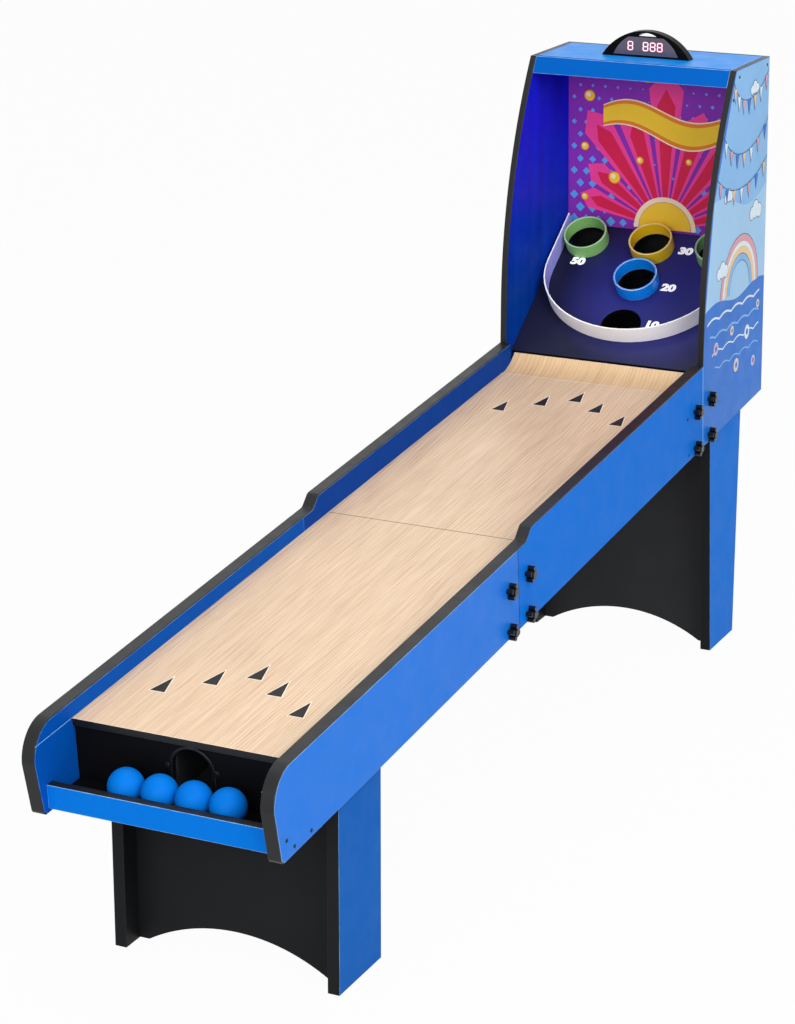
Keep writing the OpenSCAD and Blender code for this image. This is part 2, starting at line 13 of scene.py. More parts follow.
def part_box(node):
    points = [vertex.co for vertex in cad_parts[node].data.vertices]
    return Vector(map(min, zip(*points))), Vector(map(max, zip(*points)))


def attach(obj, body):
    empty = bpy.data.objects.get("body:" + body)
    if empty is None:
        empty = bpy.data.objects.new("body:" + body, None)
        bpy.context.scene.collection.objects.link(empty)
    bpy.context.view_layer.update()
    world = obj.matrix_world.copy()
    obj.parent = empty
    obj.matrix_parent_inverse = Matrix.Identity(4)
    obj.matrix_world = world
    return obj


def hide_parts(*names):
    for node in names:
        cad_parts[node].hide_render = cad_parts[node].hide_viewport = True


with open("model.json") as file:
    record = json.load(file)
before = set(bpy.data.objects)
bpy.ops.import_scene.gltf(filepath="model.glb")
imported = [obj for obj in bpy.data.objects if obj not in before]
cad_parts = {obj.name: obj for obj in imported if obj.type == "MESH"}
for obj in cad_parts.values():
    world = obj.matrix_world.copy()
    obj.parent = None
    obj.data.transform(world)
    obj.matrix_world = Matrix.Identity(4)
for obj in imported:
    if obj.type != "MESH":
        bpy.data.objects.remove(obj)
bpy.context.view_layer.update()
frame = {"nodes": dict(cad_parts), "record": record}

bl_info = {
    "name": "Ball alley table",
    "version": (1, 0, 0),
    "blender": (4, 5, 0),
    "location": "View3D > Sidebar > Ball alley",
    "description": "Finishes a ball rolling alley game table around its construction",
    "category": "Add Mesh",
}

MM = 0.001
NODES = frame["nodes"]
BODY_OF = {node: body for body, nodes in frame["record"]["behaviour"]["bodies"].items() for node in nodes}
SIDES = {"left": -1, "right": 1}
MERGE = 1e-6
FLAT_LIMIT = math.radians(0.5)
ROUND_LIMIT = math.radians(28)
SMOOTH_LIMIT = math.radians(40)
# Thickness of a layer of print as a share of the step between layers
PRINT_FILL = 0.9
# Cosine past which a face counts as facing a direction
FACING = 0.9


def linear(code):
    """Scene colour of a web colour code."""
    parts = [int(code[i:i + 2], 16) / 255 for i in (1, 3, 5)]
    return tuple(p / 12.92 if p <= 0.04045 else ((p + 0.055) / 1.055) ** 2.4 for p in parts) + (1.0,)


def colour(name, description, code):
    """A colour that the user can change."""
    return FloatVectorProperty(
        name=name, description=description, subtype="COLOR", size=4, min=0.0, max=1.0, default=linear(code))


def length(name, description, millimetres):
    """A length that the user can change."""
    return FloatProperty(
        name=name, description=description, unit="LENGTH", min=0.0, default=millimetres * MM)


def power(name, description, watts):
    """A light's power that the user can change."""
    return FloatProperty(name=name, description=description, subtype="POWER", min=0.0, default=watts)


def angle(name, description, degrees):
    """An angle that the user can change."""
    return FloatProperty(name=name, description=description, subtype="ANGLE", default=math.radians(degrees))


class AlleyColours(PropertyGroup):
    """Colours of the table's finishes."""

    board_blue: colour("Board blue", "Faces of the laminated boards", "#0873dc")
    # Painted shade: the rails' blue is the board blue made darker for the shade on their inner faces and in
    # the tray, and the rear rails darker still for the shade near the cabinet
    rail_blue: colour("Rail blue", "Front guard rails and the tray's cheeks", "#0350ad")
    rear_rail_blue: colour("Rear rail blue", "Rear guard rails", "#033f98")
    apron_blue: colour("Apron blue", "Apron of the ball tray", "#0471d4")
    # Painted light and shade: the posts are the board blue, made darker at the front for the shade under
    # the panels and lighter at the rear for the light that falls there
    post_blue: colour("Post blue", "Outer faces of the front leg posts", "#065fb6")
    rear_post_blue: colour("Rear post blue", "Outer faces of the rear leg posts", "#0677e0")
    # Painted shade: the header is the board blue made darker for the shade it stands in
    header_blue: colour("Header blue", "Board over the cabinet's opening", "#045ab4")
    # Painted light: the cabinet's top is the board blue made lighter for the light and sheen that fall on
    # it from above
    top_blue: colour("Top blue", "Top of the cabinet", "#0a8eec")
    # Rub and painted highlight: the pale blue lightens the rounded edges of the blue boards, partly as wear
    # and partly as light caught by the edges, and it colours the pale joint lines, which are painted
    # highlight
    worn_blue: colour("Worn blue", "Edges of the blue boards", "#9cccfa")
    trim_black: colour("Trim black", "Edge trims and edge bands", "#101113")
    # Rub and painted highlight: the grey lightens the rounded edges of black pieces, partly as wear and
    # partly as a painted sheen
    worn_black: colour("Worn black", "Rubbed edges of black pieces", "#3d3d41")
    board_black: colour("Board black", "Black boards of the front legs and the cabinet's back", "#17181a")
    # Painted light: the rear leg panel is the board black made lighter for the light that falls on it
    rear_black: colour("Rear black", "Black panel between the rear legs", "#2f3033")
    moulded: colour("Moulded black", "Moulded plastic and the boards inside the tray", "#0b0b0d")
    maple_light: colour("Maple light", "Ground of the lane's wood", "#e9cdac")
    maple_dark: colour("Maple dark", "Grain of the lane's wood", "#a97648")
    # Rub and painted highlight: the pale tint on the wood's rounded edges is partly wear and partly light
    # caught by the edges
    maple_edge: colour("Maple edge", "Rubbed edges of the lane's wood", "#fdf0e0")
    ramp_light: colour("Ramp light", "Ground of the jump ramp's wood", "#e2c092")
    batten: colour("Batten", "Ground of the raw battens under the lane", "#d9b98c")
    batten_dark: colour("Batten dark", "Grain of the raw battens", "#a97f55")
    lane_joint: colour("Lane joint", "Line where the lane boards meet", "#7d7a60")
    panel_joint: colour("Panel joint", "Line where the side panels meet", "#0b2d63")
    arrow_dark: colour("Arrow dark", "Aiming arrows on the lane", "#1f1c1b")
    arrow_pale: colour("Arrow pale", "Outline of the aiming arrows", "#f8ecdd")
    ring_green: colour("Green ring", "Outer score rings", "#8ecb76")
    ring_yellow: colour("Yellow ring", "Upper middle score ring", "#ffd21c")
    ring_blue: colour("Blue ring", "Lower middle score ring", "#0a94ff")
    # Painted highlight: the near-white rims of the score rings stand for light caught by their rounded rims
    ring_rim: colour("Ring rim", "Bright rims of the score rings", "#f4f6e8")
    fence_white: colour("Fence white", "Band round the lower holes", "#fafafc")
    # Painted reflection: the band's inner face is tinted lavender for the blue light that the cabinet's
    # lining bounces onto it
    fence_inner: colour("Fence inner", "Inner face of the band round the lower holes", "#a8a8fb")
    ball_blue: colour("Ball blue", "The four balls", "#026ecd")
    target_navy: colour("Target navy", "Target board inside the fence", "#2a2c76")
    target_dark: colour("Target dark", "Target board outside the fence", "#181932")
    # Painted light and shade: the lining is brighter near its top, where light falls in, and deeper near
    # its foot, where it is in shade
    lining_lit_blue: colour("Inner blue", "Cabinet lining near the top", "#0a1ee2")
    lining_shade_blue: colour("Inner deep", "Cabinet lining near the targets", "#023c9e")
    lens: colour("Lens", "Dark window of the scorer", "#544c5c")
    digit: colour("Digit", "Lit bars of the scorer's digits", "#ffd3da")
    digit_glow: colour("Digit glow", "Glow round the lit bars", "#e2566c")
    zinc: colour("Zinc", "Plated steel", "#a9acb0")
    # Painted shade: the return chute is made nearly black so that the return's mouth looks dark inside
    grey_plastic: colour("Grey plastic", "Return chute", "#222326")
    board_green: colour("Circuit green", "Circuit board of the scorer", "#1b5a34")
    screw: colour("Screw", "Heads of the screws", "#232327")
    side_blue: colour("Side blue", "Ground of the cabinet's sides", "#1272d6")
    side_sky: colour("Side sky", "Upper field of the cabinet's sides", "#86bff2")
    side_mist: colour("Side mist", "Middle field of the cabinet's sides", "#a5d2f6")
    side_foam: colour("Side foam", "Lines and clouds on the cabinet's sides", "#e3f2fc")
    side_line: colour("Side line", "Dark lines on the cabinet's sides", "#1d4c86")
    side_peach: colour("Side peach", "Warm shapes on the cabinet's sides", "#f3cf9d")
    side_pink: colour("Side pink", "Pink shapes on the cabinet's sides", "#e2a3ae")
    back_purple: colour("Back purple", "Ground of the backboard", "#8b34ae")
    back_pink: colour("Back pink", "Wide rays on the backboard", "#f84896")
    back_crimson: colour("Back crimson", "Narrow rays on the backboard", "#e0284f")
    back_sky: colour("Back sky", "Diamonds on the backboard", "#58a4ec")
    back_gold: colour("Back gold", "Ribbon and discs on the backboard", "#ffd23a")
    back_orange: colour("Back orange", "Edge of the ribbon on the backboard", "#ee8a2c")
    back_cream: colour("Back cream", "Outer line of the ribbon on the backboard", "#ffe9c2")


class AlleySizes(PropertyGroup):
    """Sizes of the details that the looks add."""

    board_round: length("Board round", "Radius on the edges of the boards", 0.8)
    post_round: length("Post round", "Radius on the edges of the leg posts and the apron", 0.9)
    small_round: length("Small round", "Radius on the edges of small and hidden pieces", 0.4)
    trim_round: length("Trim round", "Radius on the edges of the trims", 0.6)
    knob_round: length("Knob round", "Radius on the edges of the hand knobs", 1.4)
    ring_round: length("Ring round", "Radius on the rims of the score rings", 0.9)
    housing_round: length("Housing round", "Radius on the edges of the scorer's housing", 2.2)
    print_step: length("Print step", "Thickness of one layer of print", 0.12)
    arrow_len: length("Arrow length", "Length of an aiming arrow with its outline", 59.0)
    arrow_w: length("Arrow width", "Width of an aiming arrow with its outline", 29.5)
    arrow_line: length("Arrow line", "Width of the arrow's outline", 1.5)
    joint_w: length("Joint line", "Width of the lines where boards meet", 2.0)
    number_h: length("Number size", "Type size of the score numbers", 24.5)
    digit_h: length("Digit height", "Height of the scorer's digits", 17.6)
    digit_w: length("Digit width", "Width of the scorer's digits", 11.4)
    digit_bar: length("Digit bar", "Width of a lit bar", 1.8)
    digit_pitch: length("Digit pitch", "Distance between neighbouring digits", 14.9)
    digit_lone: length("Lone digit", "From the middle to the digit that stands apart", 32.0)
    digit_group: length("Digit group", "From the middle to the first of the three digits", 0.2)
    screw_d: length("Screw head", "Diameter of the screw heads", 7.0)
    seam: length("Ball seam", "Height of the mould seam on the balls", 0.12)


class AlleyStage(PropertyGroup):
    """Light, floor and camera."""

    floor: colour("Floor", "Colour of the floor", "#c8c8c8")
    ambient: FloatProperty(name="Ambient", description="Light from all round", default=0.38, min=0.0)
    key: power("Key light", "Power of the large light", 232.0)
    fill: power("Fill light", "Power of the front light", 115.0)
    top: power("Top light", "Power of the light above", 75.0)
    floor_glow: FloatProperty(
        name="Floor glow", description="Share of plain white in the floor as seen", subtype="FACTOR",
        default=0.97, min=0.0, max=1.0)
    camera_place: FloatVectorProperty(
        name="Camera place", description="Where the camera stands", subtype="TRANSLATION",
        default=(2.0512, -4.4683, 2.1173))
    azimuth: angle("Azimuth", "Turn of the camera to the player's right", 25.724)
    elevation: angle("Elevation", "Tilt of the camera down from level", 18.048)
    focal: FloatProperty(
        name="Focal length", description="Lens of the camera in millimetres on a 36 mm high frame",
        default=102.73)


def colours():
    """The scene's colours."""
    return bpy.context.scene.alley_colours


def sizes():
    """The scene's detail sizes."""
    return bpy.context.scene.alley_sizes


# Frames of the boards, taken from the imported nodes

def face_frame(node, foot_key, head_key):
    """Frame of a board's face: X across the table, Y up the face from its foot, Z off the face."""
    points = [v.co for v in NODES[node].data.vertices]
    foot = min(points, key=foot_key)
    head = min(points, key=head_key)
    slope = math.atan2(head.z - foot.z, head.y - foot.y)
    return Matrix.Translation((0, foot.y, foot.z)) @ Matrix.Rotation(slope, 4, "X")


def sideways(side):
    """Axes of an upright face that looks to a side: X along the table, Y up, Z to that side."""
    return Matrix(((0, 0, side), (side, 0, 0), (0, 1, 0))).to_4x4()


def shifted(x, place):
    """A frame moved across the table."""
    return Matrix.Translation((x, 0, 0)) @ place


LANE = face_frame("front_lane_board", lambda p: p.y, lambda p: -p.z)
BOARD = face_frame("target_board", lambda p: p.y, lambda p: -p.z)
BACK = face_frame("backboard", lambda p: (round(p.z, 5), p.y), lambda p: (-round(p.z, 5), p.y))
COVER = face_frame("rear_cover", lambda p: (round(p.z, 5), -p.y), lambda p: (-round(p.z, 5), -p.y))
LANE_SLOPE = LANE.to_euler().x
HALF_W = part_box("front_side_panel_right")[1].x
# Thickness of the guard rails, which stand on the edges of the lane boards
RAIL_T = 10 * MM
UPRIGHT = Matrix(((1, 0, 0), (0, 0, -1), (0, 1, 0))).to_4x4()


# Shader helpers

def feed(tree, node, values):
    """Put values on a node's inputs, as links where they come from other nodes."""
    for socket, value in values.items():
        if isinstance(value, bpy.types.NodeSocket):
            tree.links.new(value, node.inputs[socket])
        else:
            node.inputs[socket].default_value = value


def add(tree, kind, values=None, **settings):
    """Add a shader node, with its settings and the values of its inputs."""
    node = tree.nodes.new("ShaderNode" + kind)
    for name, value in settings.items():
        setattr(node, name, value)
    feed(tree, node, values or {})
    return node


def mixed(tree, factor, first, second):
    """Mix two colours."""
    return add(tree, "Mix", {0: factor, 6: first, 7: second}, data_type="RGBA").outputs[2]


def worked(tree, operation, first, second=0.0):
    """Work out a number from two."""
    return add(tree, "Math", {0: first, 1: second}, operation=operation).outputs[0]


def summed(tree, *parts):
    """Add up values, each times its share."""
    total = 0.0
    for value, share in parts:
        total = add(tree, "Math", {0: value, 1: share, 2: total}, operation="MULTIPLY_ADD").outputs[0]
    return total


def remapped(tree, value, low, high, new_low=0.0, new_high=1.0):
    """Move a value from one range to another and keep it there."""
    ranges = {0: value, 1: low, 2: high, 3: new_low, 4: new_high}
    return add(tree, "MapRange", ranges).outputs[0]


def noise(tree, vector, scale, detail=2.0, roughness=0.5):
    """Soft noise at a scale given per metre."""
    return add(tree, "TexNoise", {"Vector": vector, "Scale": scale, "Detail": detail,
                                  "Roughness": roughness}).outputs[0]


def stretched(tree, vector, x, y, z):
    """Coordinates scaled by a factor on each axis."""
    return add(tree, "Mapping", {"Vector": vector, "Scale": (x, y, z)}).outputs[0]


def scaled(tree, tint, factor):
    """A colour made lighter or darker by a factor."""
    if not isinstance(tint, bpy.types.NodeSocket):
        tint = tint[:3]
    return add(tree, "VectorMath", {0: tint, 3: factor}, operation="SCALE").outputs[0]


def object_place(tree):
    """Object coordinates, which are the table's own metres."""
    return add(tree, "TexCoord").outputs["Object"]


def new_group(name, inputs, outputs):
    """A shader node group with named inputs and outputs."""
    tree = bpy.data.node_groups.new(name, "ShaderNodeTree")
    for in_out, sockets in (("INPUT", inputs), ("OUTPUT", outputs)):
        for label, kind in sockets.items():
            tree.interface.new_socket(label, in_out=in_out, socket_type="NodeSocket" + kind)
    return tree, tree.nodes.new("NodeGroupInput").outputs, tree.nodes.new("NodeGroupOutput").inputs


def board_skin():
    """Group: slow change of tone, a pebbled skin and handling marks."""
    tree, given, made = new_group(
        "Board skin",
        {"Color": "Color", "Variation": "Float", "Roughness": "Float", "Pebble": "Float"},
        {"Color": "Color", "Roughness": "Float", "Height": "Float"})
    place = object_place(tree)
    cloud = noise(tree, place, 4.0, 3.0)
    marks = noise(tree, place, 23.0, 4.0, 0.6)
    pebble = noise(tree, place, given["Pebble"], 2.0)
    low = worked(tree, "SUBTRACT", 1.0, given["Variation"])
    high = worked(tree, "ADD", 1.0, given["Variation"])
    tone = remapped(tree, cloud, 0.3, 0.7, low, high)
    fleck = remapped(tree, pebble, 0.3, 0.7, 0.97, 1.03)
    tree.links.new(scaled(tree, given["Color"], worked(tree, "MULTIPLY", tone, fleck)), made["Color"])
    rub = remapped(tree, marks, 0.35, 0.7, -0.05, 0.08)
    tree.links.new(worked(tree, "ADD", given["Roughness"], rub), made["Roughness"])
    tree.links.new(pebble, made["Height"])
    return tree


def edge_rub_and_highlight():
    """Group: rounded edges rubbed towards another colour, partly as wear and partly as a painted highlight.
    """
    tree, given, made = new_group(
        "Edge wear", {"Color": "Color", "Worn": "Color", "Amount": "Float"}, {"Color": "Color"})
    edge = add(tree, "Attribute", attribute_name="edge").outputs["Fac"]
    patch = remapped(tree, noise(tree, object_place(tree), 38.0, 3.0), 0.35, 0.65, 0.45, 1.0)
    # Painted highlight and rub: patches along the rounded edges are lightened, partly as wear and partly as
    # light caught by the edges
    rub_and_highlight_mask = worked(tree, "MULTIPLY", worked(tree, "MULTIPLY", edge, patch), given["Amount"])
    tree.links.new(mixed(tree, rub_and_highlight_mask, given["Color"], given["Worn"]), made["Color"])
    return tree


def wood_grain():
    """Group: grain that runs along Y, with drifting growth lines, streaks and pores."""
    tree, given, made = new_group(
        "Wood grain", {"Vector": "Vector", "Light": "Color", "Dark": "Color"},
        {"Color": "Color", "Height": "Float"})
    place = given["Vector"]
    bend = noise(tree, stretched(tree, place, 4.2, 0.5, 0.5), 1.0, 1.0)
    across = add(tree, "SeparateXYZ", {0: place}).outputs[0]
    phase = summed(tree, (across, 1050.0), (bend, 230.0))
    lines = remapped(tree, worked(tree, "SINE", phase), 0.5, 1.0)
    streak = noise(tree, stretched(tree, place, 95.0, 1.2, 1.2), 1.0, 5.0, 0.62)
    pores = noise(tree, stretched(tree, place, 820.0, 9.0, 9.0), 1.0, 2.0)
    fine = remapped(tree, pores, 0.46, 0.64)
    broad = remapped(tree, streak, 0.35, 0.72)
    growth = worked(tree, "MULTIPLY", lines, remapped(tree, broad, 0.0, 1.0, 0.4, 1.0))
    dark = summed(tree, (growth, 0.36), (fine, 0.36), (broad, 0.14))
    tree.links.new(mixed(tree, dark, given["Light"], given["Dark"]), made["Color"])
    tree.links.new(worked(tree, "SUBTRACT", 1.0, dark), made["Height"])
    return tree


GROUPS = {}
RELIEF_DEPTH = 0.3 * MM
# Glow of the target board, in its own frame, and the heights between which the lining's painted shade
# changes
GLOW_MIDDLE = Vector((0.07, 0.2, 0.0))
GLOW_REACH = 0.13
GLOW_END = 0.23
LINING_FOOT = 0.72
LINING_TOP = 1.06


def group(tree, builder, values):
    """Place a shared group in a material, built the first time it is asked for."""
    if builder not in GROUPS:
        GROUPS[builder] = builder()
    node = add(tree, "Group", node_tree=GROUPS[builder])
    feed(tree, node, values)
    return node.outputs


def start_material(name, **plain):
    """A material, its tree and its shader, with plain values on the shader's own sockets."""
    material = bpy.data.materials.new(name)
    material.use_nodes = True
    shader = material.node_tree.nodes["Principled BSDF"]
    for socket, value in plain.items():
        shader.inputs[socket.replace("_", " ")].default_value = value
    return material, material.node_tree, shader


def bump(tree, shader, height, strength):
    """Raise the surface's fine relief."""
    relief = add(tree, "Bump", {"Height": height, "Strength": strength, "Distance": RELIEF_DEPTH})
    tree.links.new(relief.outputs[0], shader.inputs["Normal"])


def skinned(tree, shader, tint, roughness, variation, pebble, worn=None, wear=0.0):
    """Feed a shader with a toned, pebbled skin, rubbed and given a painted highlight at its edges if it has
    an edge tint; give its height.
    """
    skin = group(tree, board_skin, {
        "Color": tint, "Variation": variation, "Roughness": roughness, "Pebble": pebble})
    tone = skin["Color"]
    if worn is not None:
        tone = group(tree, edge_rub_and_highlight, {"Color": tone, "Worn": worn, "Amount": wear})["Color"]
    tree.links.new(tone, shader.inputs["Base Color"])
    tree.links.new(skin["Roughness"], shader.inputs["Roughness"])
    return skin["Height"]


def skin_material(name, tint, worn, roughness, variation, pebble, wear, relief, **plain):
    """A board, plastic, paint or ink: toned, pebbled, and rubbed at its edges with a painted highlight
    there.
    """
    material, tree, shader = start_material(name, **{"Specular_IOR_Level": 0.14, **plain})
    height = skinned(tree, shader, tint, roughness, variation, pebble, worn, wear)
    bump(tree, shader, height, relief)
    return material


def wood_material(name, light, dark, edge, roughness):
    """Wood with its grain along the lane, under a thin clear coat."""
    material, tree, shader = start_material(name, Coat_Weight=0.35, Coat_Roughness=0.3)
    along = (-LANE_SLOPE, 0.0, 0.0)
    place = add(tree, "Mapping", {"Vector": object_place(tree), "Rotation": along}).outputs[0]
    grain = group(tree, wood_grain, {"Vector": place, "Light": light, "Dark": dark})
    # The edge tint lightens the rounded edges, partly as rub and partly as a painted highlight
    skinned(tree, shader, grain["Color"], roughness, 0.035, 700.0, edge, 0.9)
    bump(tree, shader, grain["Height"], 0.12)
    return material


def target_material(name, inside, outside):
    """Print of the target board: a glow in the middle that falls off to the edges."""
    material, tree, shader = start_material(name, Specular_IOR_Level=0.2)
    ends = {0: object_place(tree), 1: BOARD @ GLOW_MIDDLE}
    apart = add(tree, "VectorMath", ends, operation="DISTANCE").outputs["Value"]
    tint = mixed(tree, remapped(tree, apart, GLOW_REACH, GLOW_END), inside, outside)
    bump(tree, shader, skinned(tree, shader, tint, 0.34, 0.1, 600.0), 0.05)
    return material


def lining_material(name, top, foot):
    """Cabinet lining: deeper towards its foot as painted shade, with soft upright folds in the print."""
    material, tree, shader = start_material(name, Specular_IOR_Level=0.05)
    place = object_place(tree)
    height = add(tree, "SeparateXYZ", {0: place}).outputs[2]
    # Painted shade: the lining darkens from its top to its foot
    tint = mixed(tree, remapped(tree, height, LINING_FOOT, LINING_TOP), foot, top)
    folds = noise(tree, stretched(tree, place, 0.0, 26.0, 1.2), 1.0, 2.0)
    drape = scaled(tree, tint, remapped(tree, folds, 0.3, 0.7, 0.82, 1.12))
    bump(tree, shader, skinned(tree, shader, drape, 0.42, 0.05, 600.0), 0.05)
    return material


def lit_material(name, tint, strength):
    """A lit bar of the display, a little uneven along its length."""
    material, tree, shader = start_material(name, Emission_Strength=strength, Roughness=0.4)
    cloud = noise(tree, object_place(tree), 160.0, 2.0)
    glow = scaled(tree, tint, remapped(tree, cloud, 0.3, 0.7, 0.9, 1.0))
    tree.links.new(glow, shader.inputs["Base Color"])
    tree.links.new(glow, shader.inputs["Emission Color"])
    return material


# Surfaces that several finishes share; pebble counts grains per metre, and the edge share is the rub at the
# edges together with the painted highlight there
LAMINATE = dict(worn="worn_blue", roughness=0.44, variation=0.012, pebble=520.0, wear=1.0, relief=0.08)
BLACK_BOARD = dict(
    worn="worn_black", roughness=0.50, variation=0.10, pebble=260.0, wear=0.4, relief=0.2,
    Specular_IOR_Level=0.1)
MOULDING = dict(worn="worn_black", roughness=0.24, variation=0.08, pebble=480.0, wear=0.9, relief=0.10)
BAND = dict(worn="fence_white", roughness=0.30, variation=0.03, pebble=420.0, wear=0.0, relief=0.06)
# The rings' rims are lightened as a painted highlight
RING = dict(BAND, worn="ring_rim", wear=0.8, Specular_IOR_Level=0.35)
METAL = dict(worn="zinc", roughness=0.35, variation=0.15, pebble=300.0, wear=0.5, relief=0.2)
PAINT = dict(roughness=0.42, variation=0.04, pebble=500.0, wear=0.0, relief=0.1)
JOINT = dict(PAINT, roughness=0.5, variation=0.1)
INK = dict(roughness=0.36, variation=0.06, pebble=800.0, wear=0.0, relief=0.04)

# Finishes made by skin_material; a finish takes the colour of its own name unless it names a tint
SKINS = {
    "board_blue": dict(LAMINATE, roughness=0.40),
    "rear_board": dict(LAMINATE, tint="board_blue", Specular_IOR_Level=0.04),
    # Painted shade: the rails take darker copies of the board blue
    "front_rail": dict(LAMINATE, tint="rail_blue", variation=0.015, wear=0.4, Specular_IOR_Level=0.02),
    "rear_rail": dict(LAMINATE, tint="rear_rail_blue", variation=0.015, wear=0.4, Specular_IOR_Level=0.02),
    # Painted shade on the front posts and painted light on the rear posts
    "front_post": dict(LAMINATE, tint="post_blue", variation=0.015, wear=0.6, Specular_IOR_Level=0.04),
    "rear_post": dict(LAMINATE, tint="rear_post_blue", variation=0.015, wear=0.6, Specular_IOR_Level=0.04),
    "apron_blue": dict(LAMINATE, Specular_IOR_Level=0.03),
    # Painted shade: a darker copy of the board blue
    "header_blue": dict(LAMINATE, wear=0.8, Specular_IOR_Level=0.03),
    # Painted light: a lighter copy of the board blue
    "top_blue": dict(LAMINATE, roughness=0.36, wear=0.8),
    "board_black": BLACK_BOARD,
    # Painted light: a lighter copy of the board black
    "rear_black": BLACK_BOARD,
    "tray_black": dict(BLACK_BOARD, tint="moulded", Specular_IOR_Level=0.06),
    "trim_black": dict(
        BLACK_BOARD, roughness=0.38, pebble=340.0, wear=0.6, relief=0.15, Specular_IOR_Level=0.32),
    "plastic_black": dict(MOULDING, tint="moulded", roughness=0.26, wear=0.15, Specular_IOR_Level=0.03),
    "knob_black": dict(MOULDING, tint="moulded", Specular_IOR_Level=0.35),
    "grey_plastic": dict(MOULDING, roughness=0.45, variation=0.06, pebble=420.0, wear=0.2, relief=0.15),
    "lens": dict(MOULDING, roughness=0.14, variation=0.06, pebble=200.0, wear=0.2, relief=0.02,
                 Coat_Weight=0.3, Specular_IOR_Level=0.4),
    # Painted light: the white band glows a little so that it looks brighter
    "fence_white": dict(BAND, Emission_Strength=0.06),
    # Painted reflection: lavender for the light bounced from the lining
    "fence_inner": dict(BAND, wear=0.6),
    "ring_green": RING,
    "ring_yellow": RING,
    "ring_blue": RING,
    "zinc": dict(METAL, worn="fence_white", roughness=0.34, variation=0.12, pebble=130.0, wear=0.4,
                 relief=0.15, Metallic=0.9),
    "screw": dict(METAL, Metallic=0.6),
    "circuit": dict(METAL, tint="board_green", roughness=0.45, pebble=220.0, wear=0.3),
    "ball_blue": dict(
        PAINT, roughness=0.50, variation=0.03, pebble=900.0, relief=0.12, Specular_IOR_Level=0.05),
    "lane_joint": JOINT,
    "panel_joint": JOINT,
    # Painted highlight: pale lines for the light caught along the joints
    "pale_joint": dict(JOINT, tint="worn_blue", roughness=0.4, variation=0.05),
    "arrow_dark": dict(PAINT, worn="worn_black", variation=0.12, wear=0.1),
    "arrow_pale": PAINT,
    # Painted light: the numbers glow a little so that they look brighter in the cabinet's dim inside
    "number_white": dict(
        PAINT, tint="fence_white", roughness=0.38, variation=0.03, relief=0.05, Emission_Strength=0.3),
    "back_purple": dict(PAINT, worn="worn_black", roughness=0.36, variation=0.14, wear=0.2, relief=0.05),
}
SIDE_INKS = ("side_sky", "side_mist", "side_foam", "side_line", "side_peach", "side_pink", "side_blue")
BACK_INKS = ("back_sky", "back_pink", "back_crimson", "back_gold", "back_orange", "back_cream")
SKINS.update({ink: INK for ink in SIDE_INKS + BACK_INKS})
# Woods: ground, grain, rubbed edge with its painted highlight, and roughness
WOODS = {
    "maple": ("maple_light", "maple_dark", "maple_edge", 0.40),
    "ramp": ("ramp_light", "maple_dark", "maple_edge", 0.40),
    "batten": ("batten", "batten_dark", "batten", 0.62),
}
MATERIALS = {}


def finish(name):
    """The material of that name, built the first time it is asked for."""
    if name in MATERIALS:
        return MATERIALS[name]
    tints = colours()
    if name in SKINS:
        skin = dict(SKINS[name])
        tint = skin.pop("tint", name)
        worn = skin.pop("worn", tint)
        made = skin_material(name, getattr(tints, tint), getattr(tints, worn), **skin)
    elif name in WOODS:
        *tones, roughness = WOODS[name]
        made = wood_material(name, *(getattr(tints, tone) for tone in tones), roughness)
    elif name == "target":
        made = target_material(name, tints.target_navy, tints.target_dark)
    elif name == "lining":
        made = lining_material(name, tints.lining_lit_blue, tints.lining_shade_blue)
    elif name == "digit":
        made = lit_material(name, tints.digit, 1.0)
    elif name == "digit_glow":
        made = lit_material(name, tints.digit_glow, 0.7)
    else:
        raise ValueError(f"no finish is called {name}")
    MATERIALS[name] = made
    return made


# Mesh helpers

def new_shape():
    """An empty bmesh whose faces can be marked as rounded edges."""
    bm = bmesh.new()
    bm.faces.layers.float.new("edge")
    return bm


def node_shape(node):
    """A node's shape with its loose triangles joined into whole faces."""
    bm = new_shape()
    bm.from_mesh(NODES[node].data)
    bmesh.ops.remove_doubles(bm, verts=bm.verts[:], dist=MERGE)
    bmesh.ops.dissolve_limit(bm, angle_limit=FLAT_LIMIT, verts=bm.verts[:], edges=bm.edges[:])
    for face in bm.faces:
        face.material_index = 0
    return bm


def round_edges(bm, radius, segments=2):
    """Round the sharp edges and mark the new faces."""
    mark = bm.faces.layers.float["edge"]
    sharp = [e for e in bm.edges if e.is_manifold and e.calc_face_angle() > ROUND_LIMIT]
    made = bmesh.ops.bevel(bm, geom=sharp, offset=radius, segments=segments, profile=0.5, affect="EDGES",
                           clamp_overlap=True, material=-1)
    for face in made["faces"]:
        face[mark] = 1.0


def piece(bm, name, slot, finishes, body="table", replaces=()):
    """Make an object of a shape, shade it, tie it to its body and hide the nodes that it replaces; the slot
    is not used.
    """
    mesh = bpy.data.meshes.new(name)
    bm.to_mesh(mesh)
    bm.free()
    for each in finishes:
        mesh.materials.append(finish(each))
    mesh.shade_smooth()
    mesh.set_sharp_from_angle(angle=SMOOTH_LIMIT)
    made = bpy.data.objects.new(name, mesh)
    bpy.context.scene.collection.objects.link(made)
    even = made.modifiers.new("Even shading", "WEIGHTED_NORMAL")
    even.keep_sharp = True
    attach(made, body)
    if replaces:
        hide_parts(*replaces)
    return made


def dressed(node, slot, finishes, radius, rule=None, segments=2):
    """A node's shape with rounded edges, whose faces take a finish by a rule."""
    bm = node_shape(node)
    round_edges(bm, radius, segments)
    if rule:
        for face in bm.faces:
            face.material_index = rule(face)
    return piece(bm, node + "_finished", slot, finishes, BODY_OF[node], [node])


def lay_flat(bm, place, points, level, ink):
    """Lay a flat shape of a few points on a face, at a level of print."""
    height = level * sizes().print_step
    face = bm.faces.new([bm.verts.new(place @ Vector((x, y, height))) for x, y in points])
    face.material_index = ink


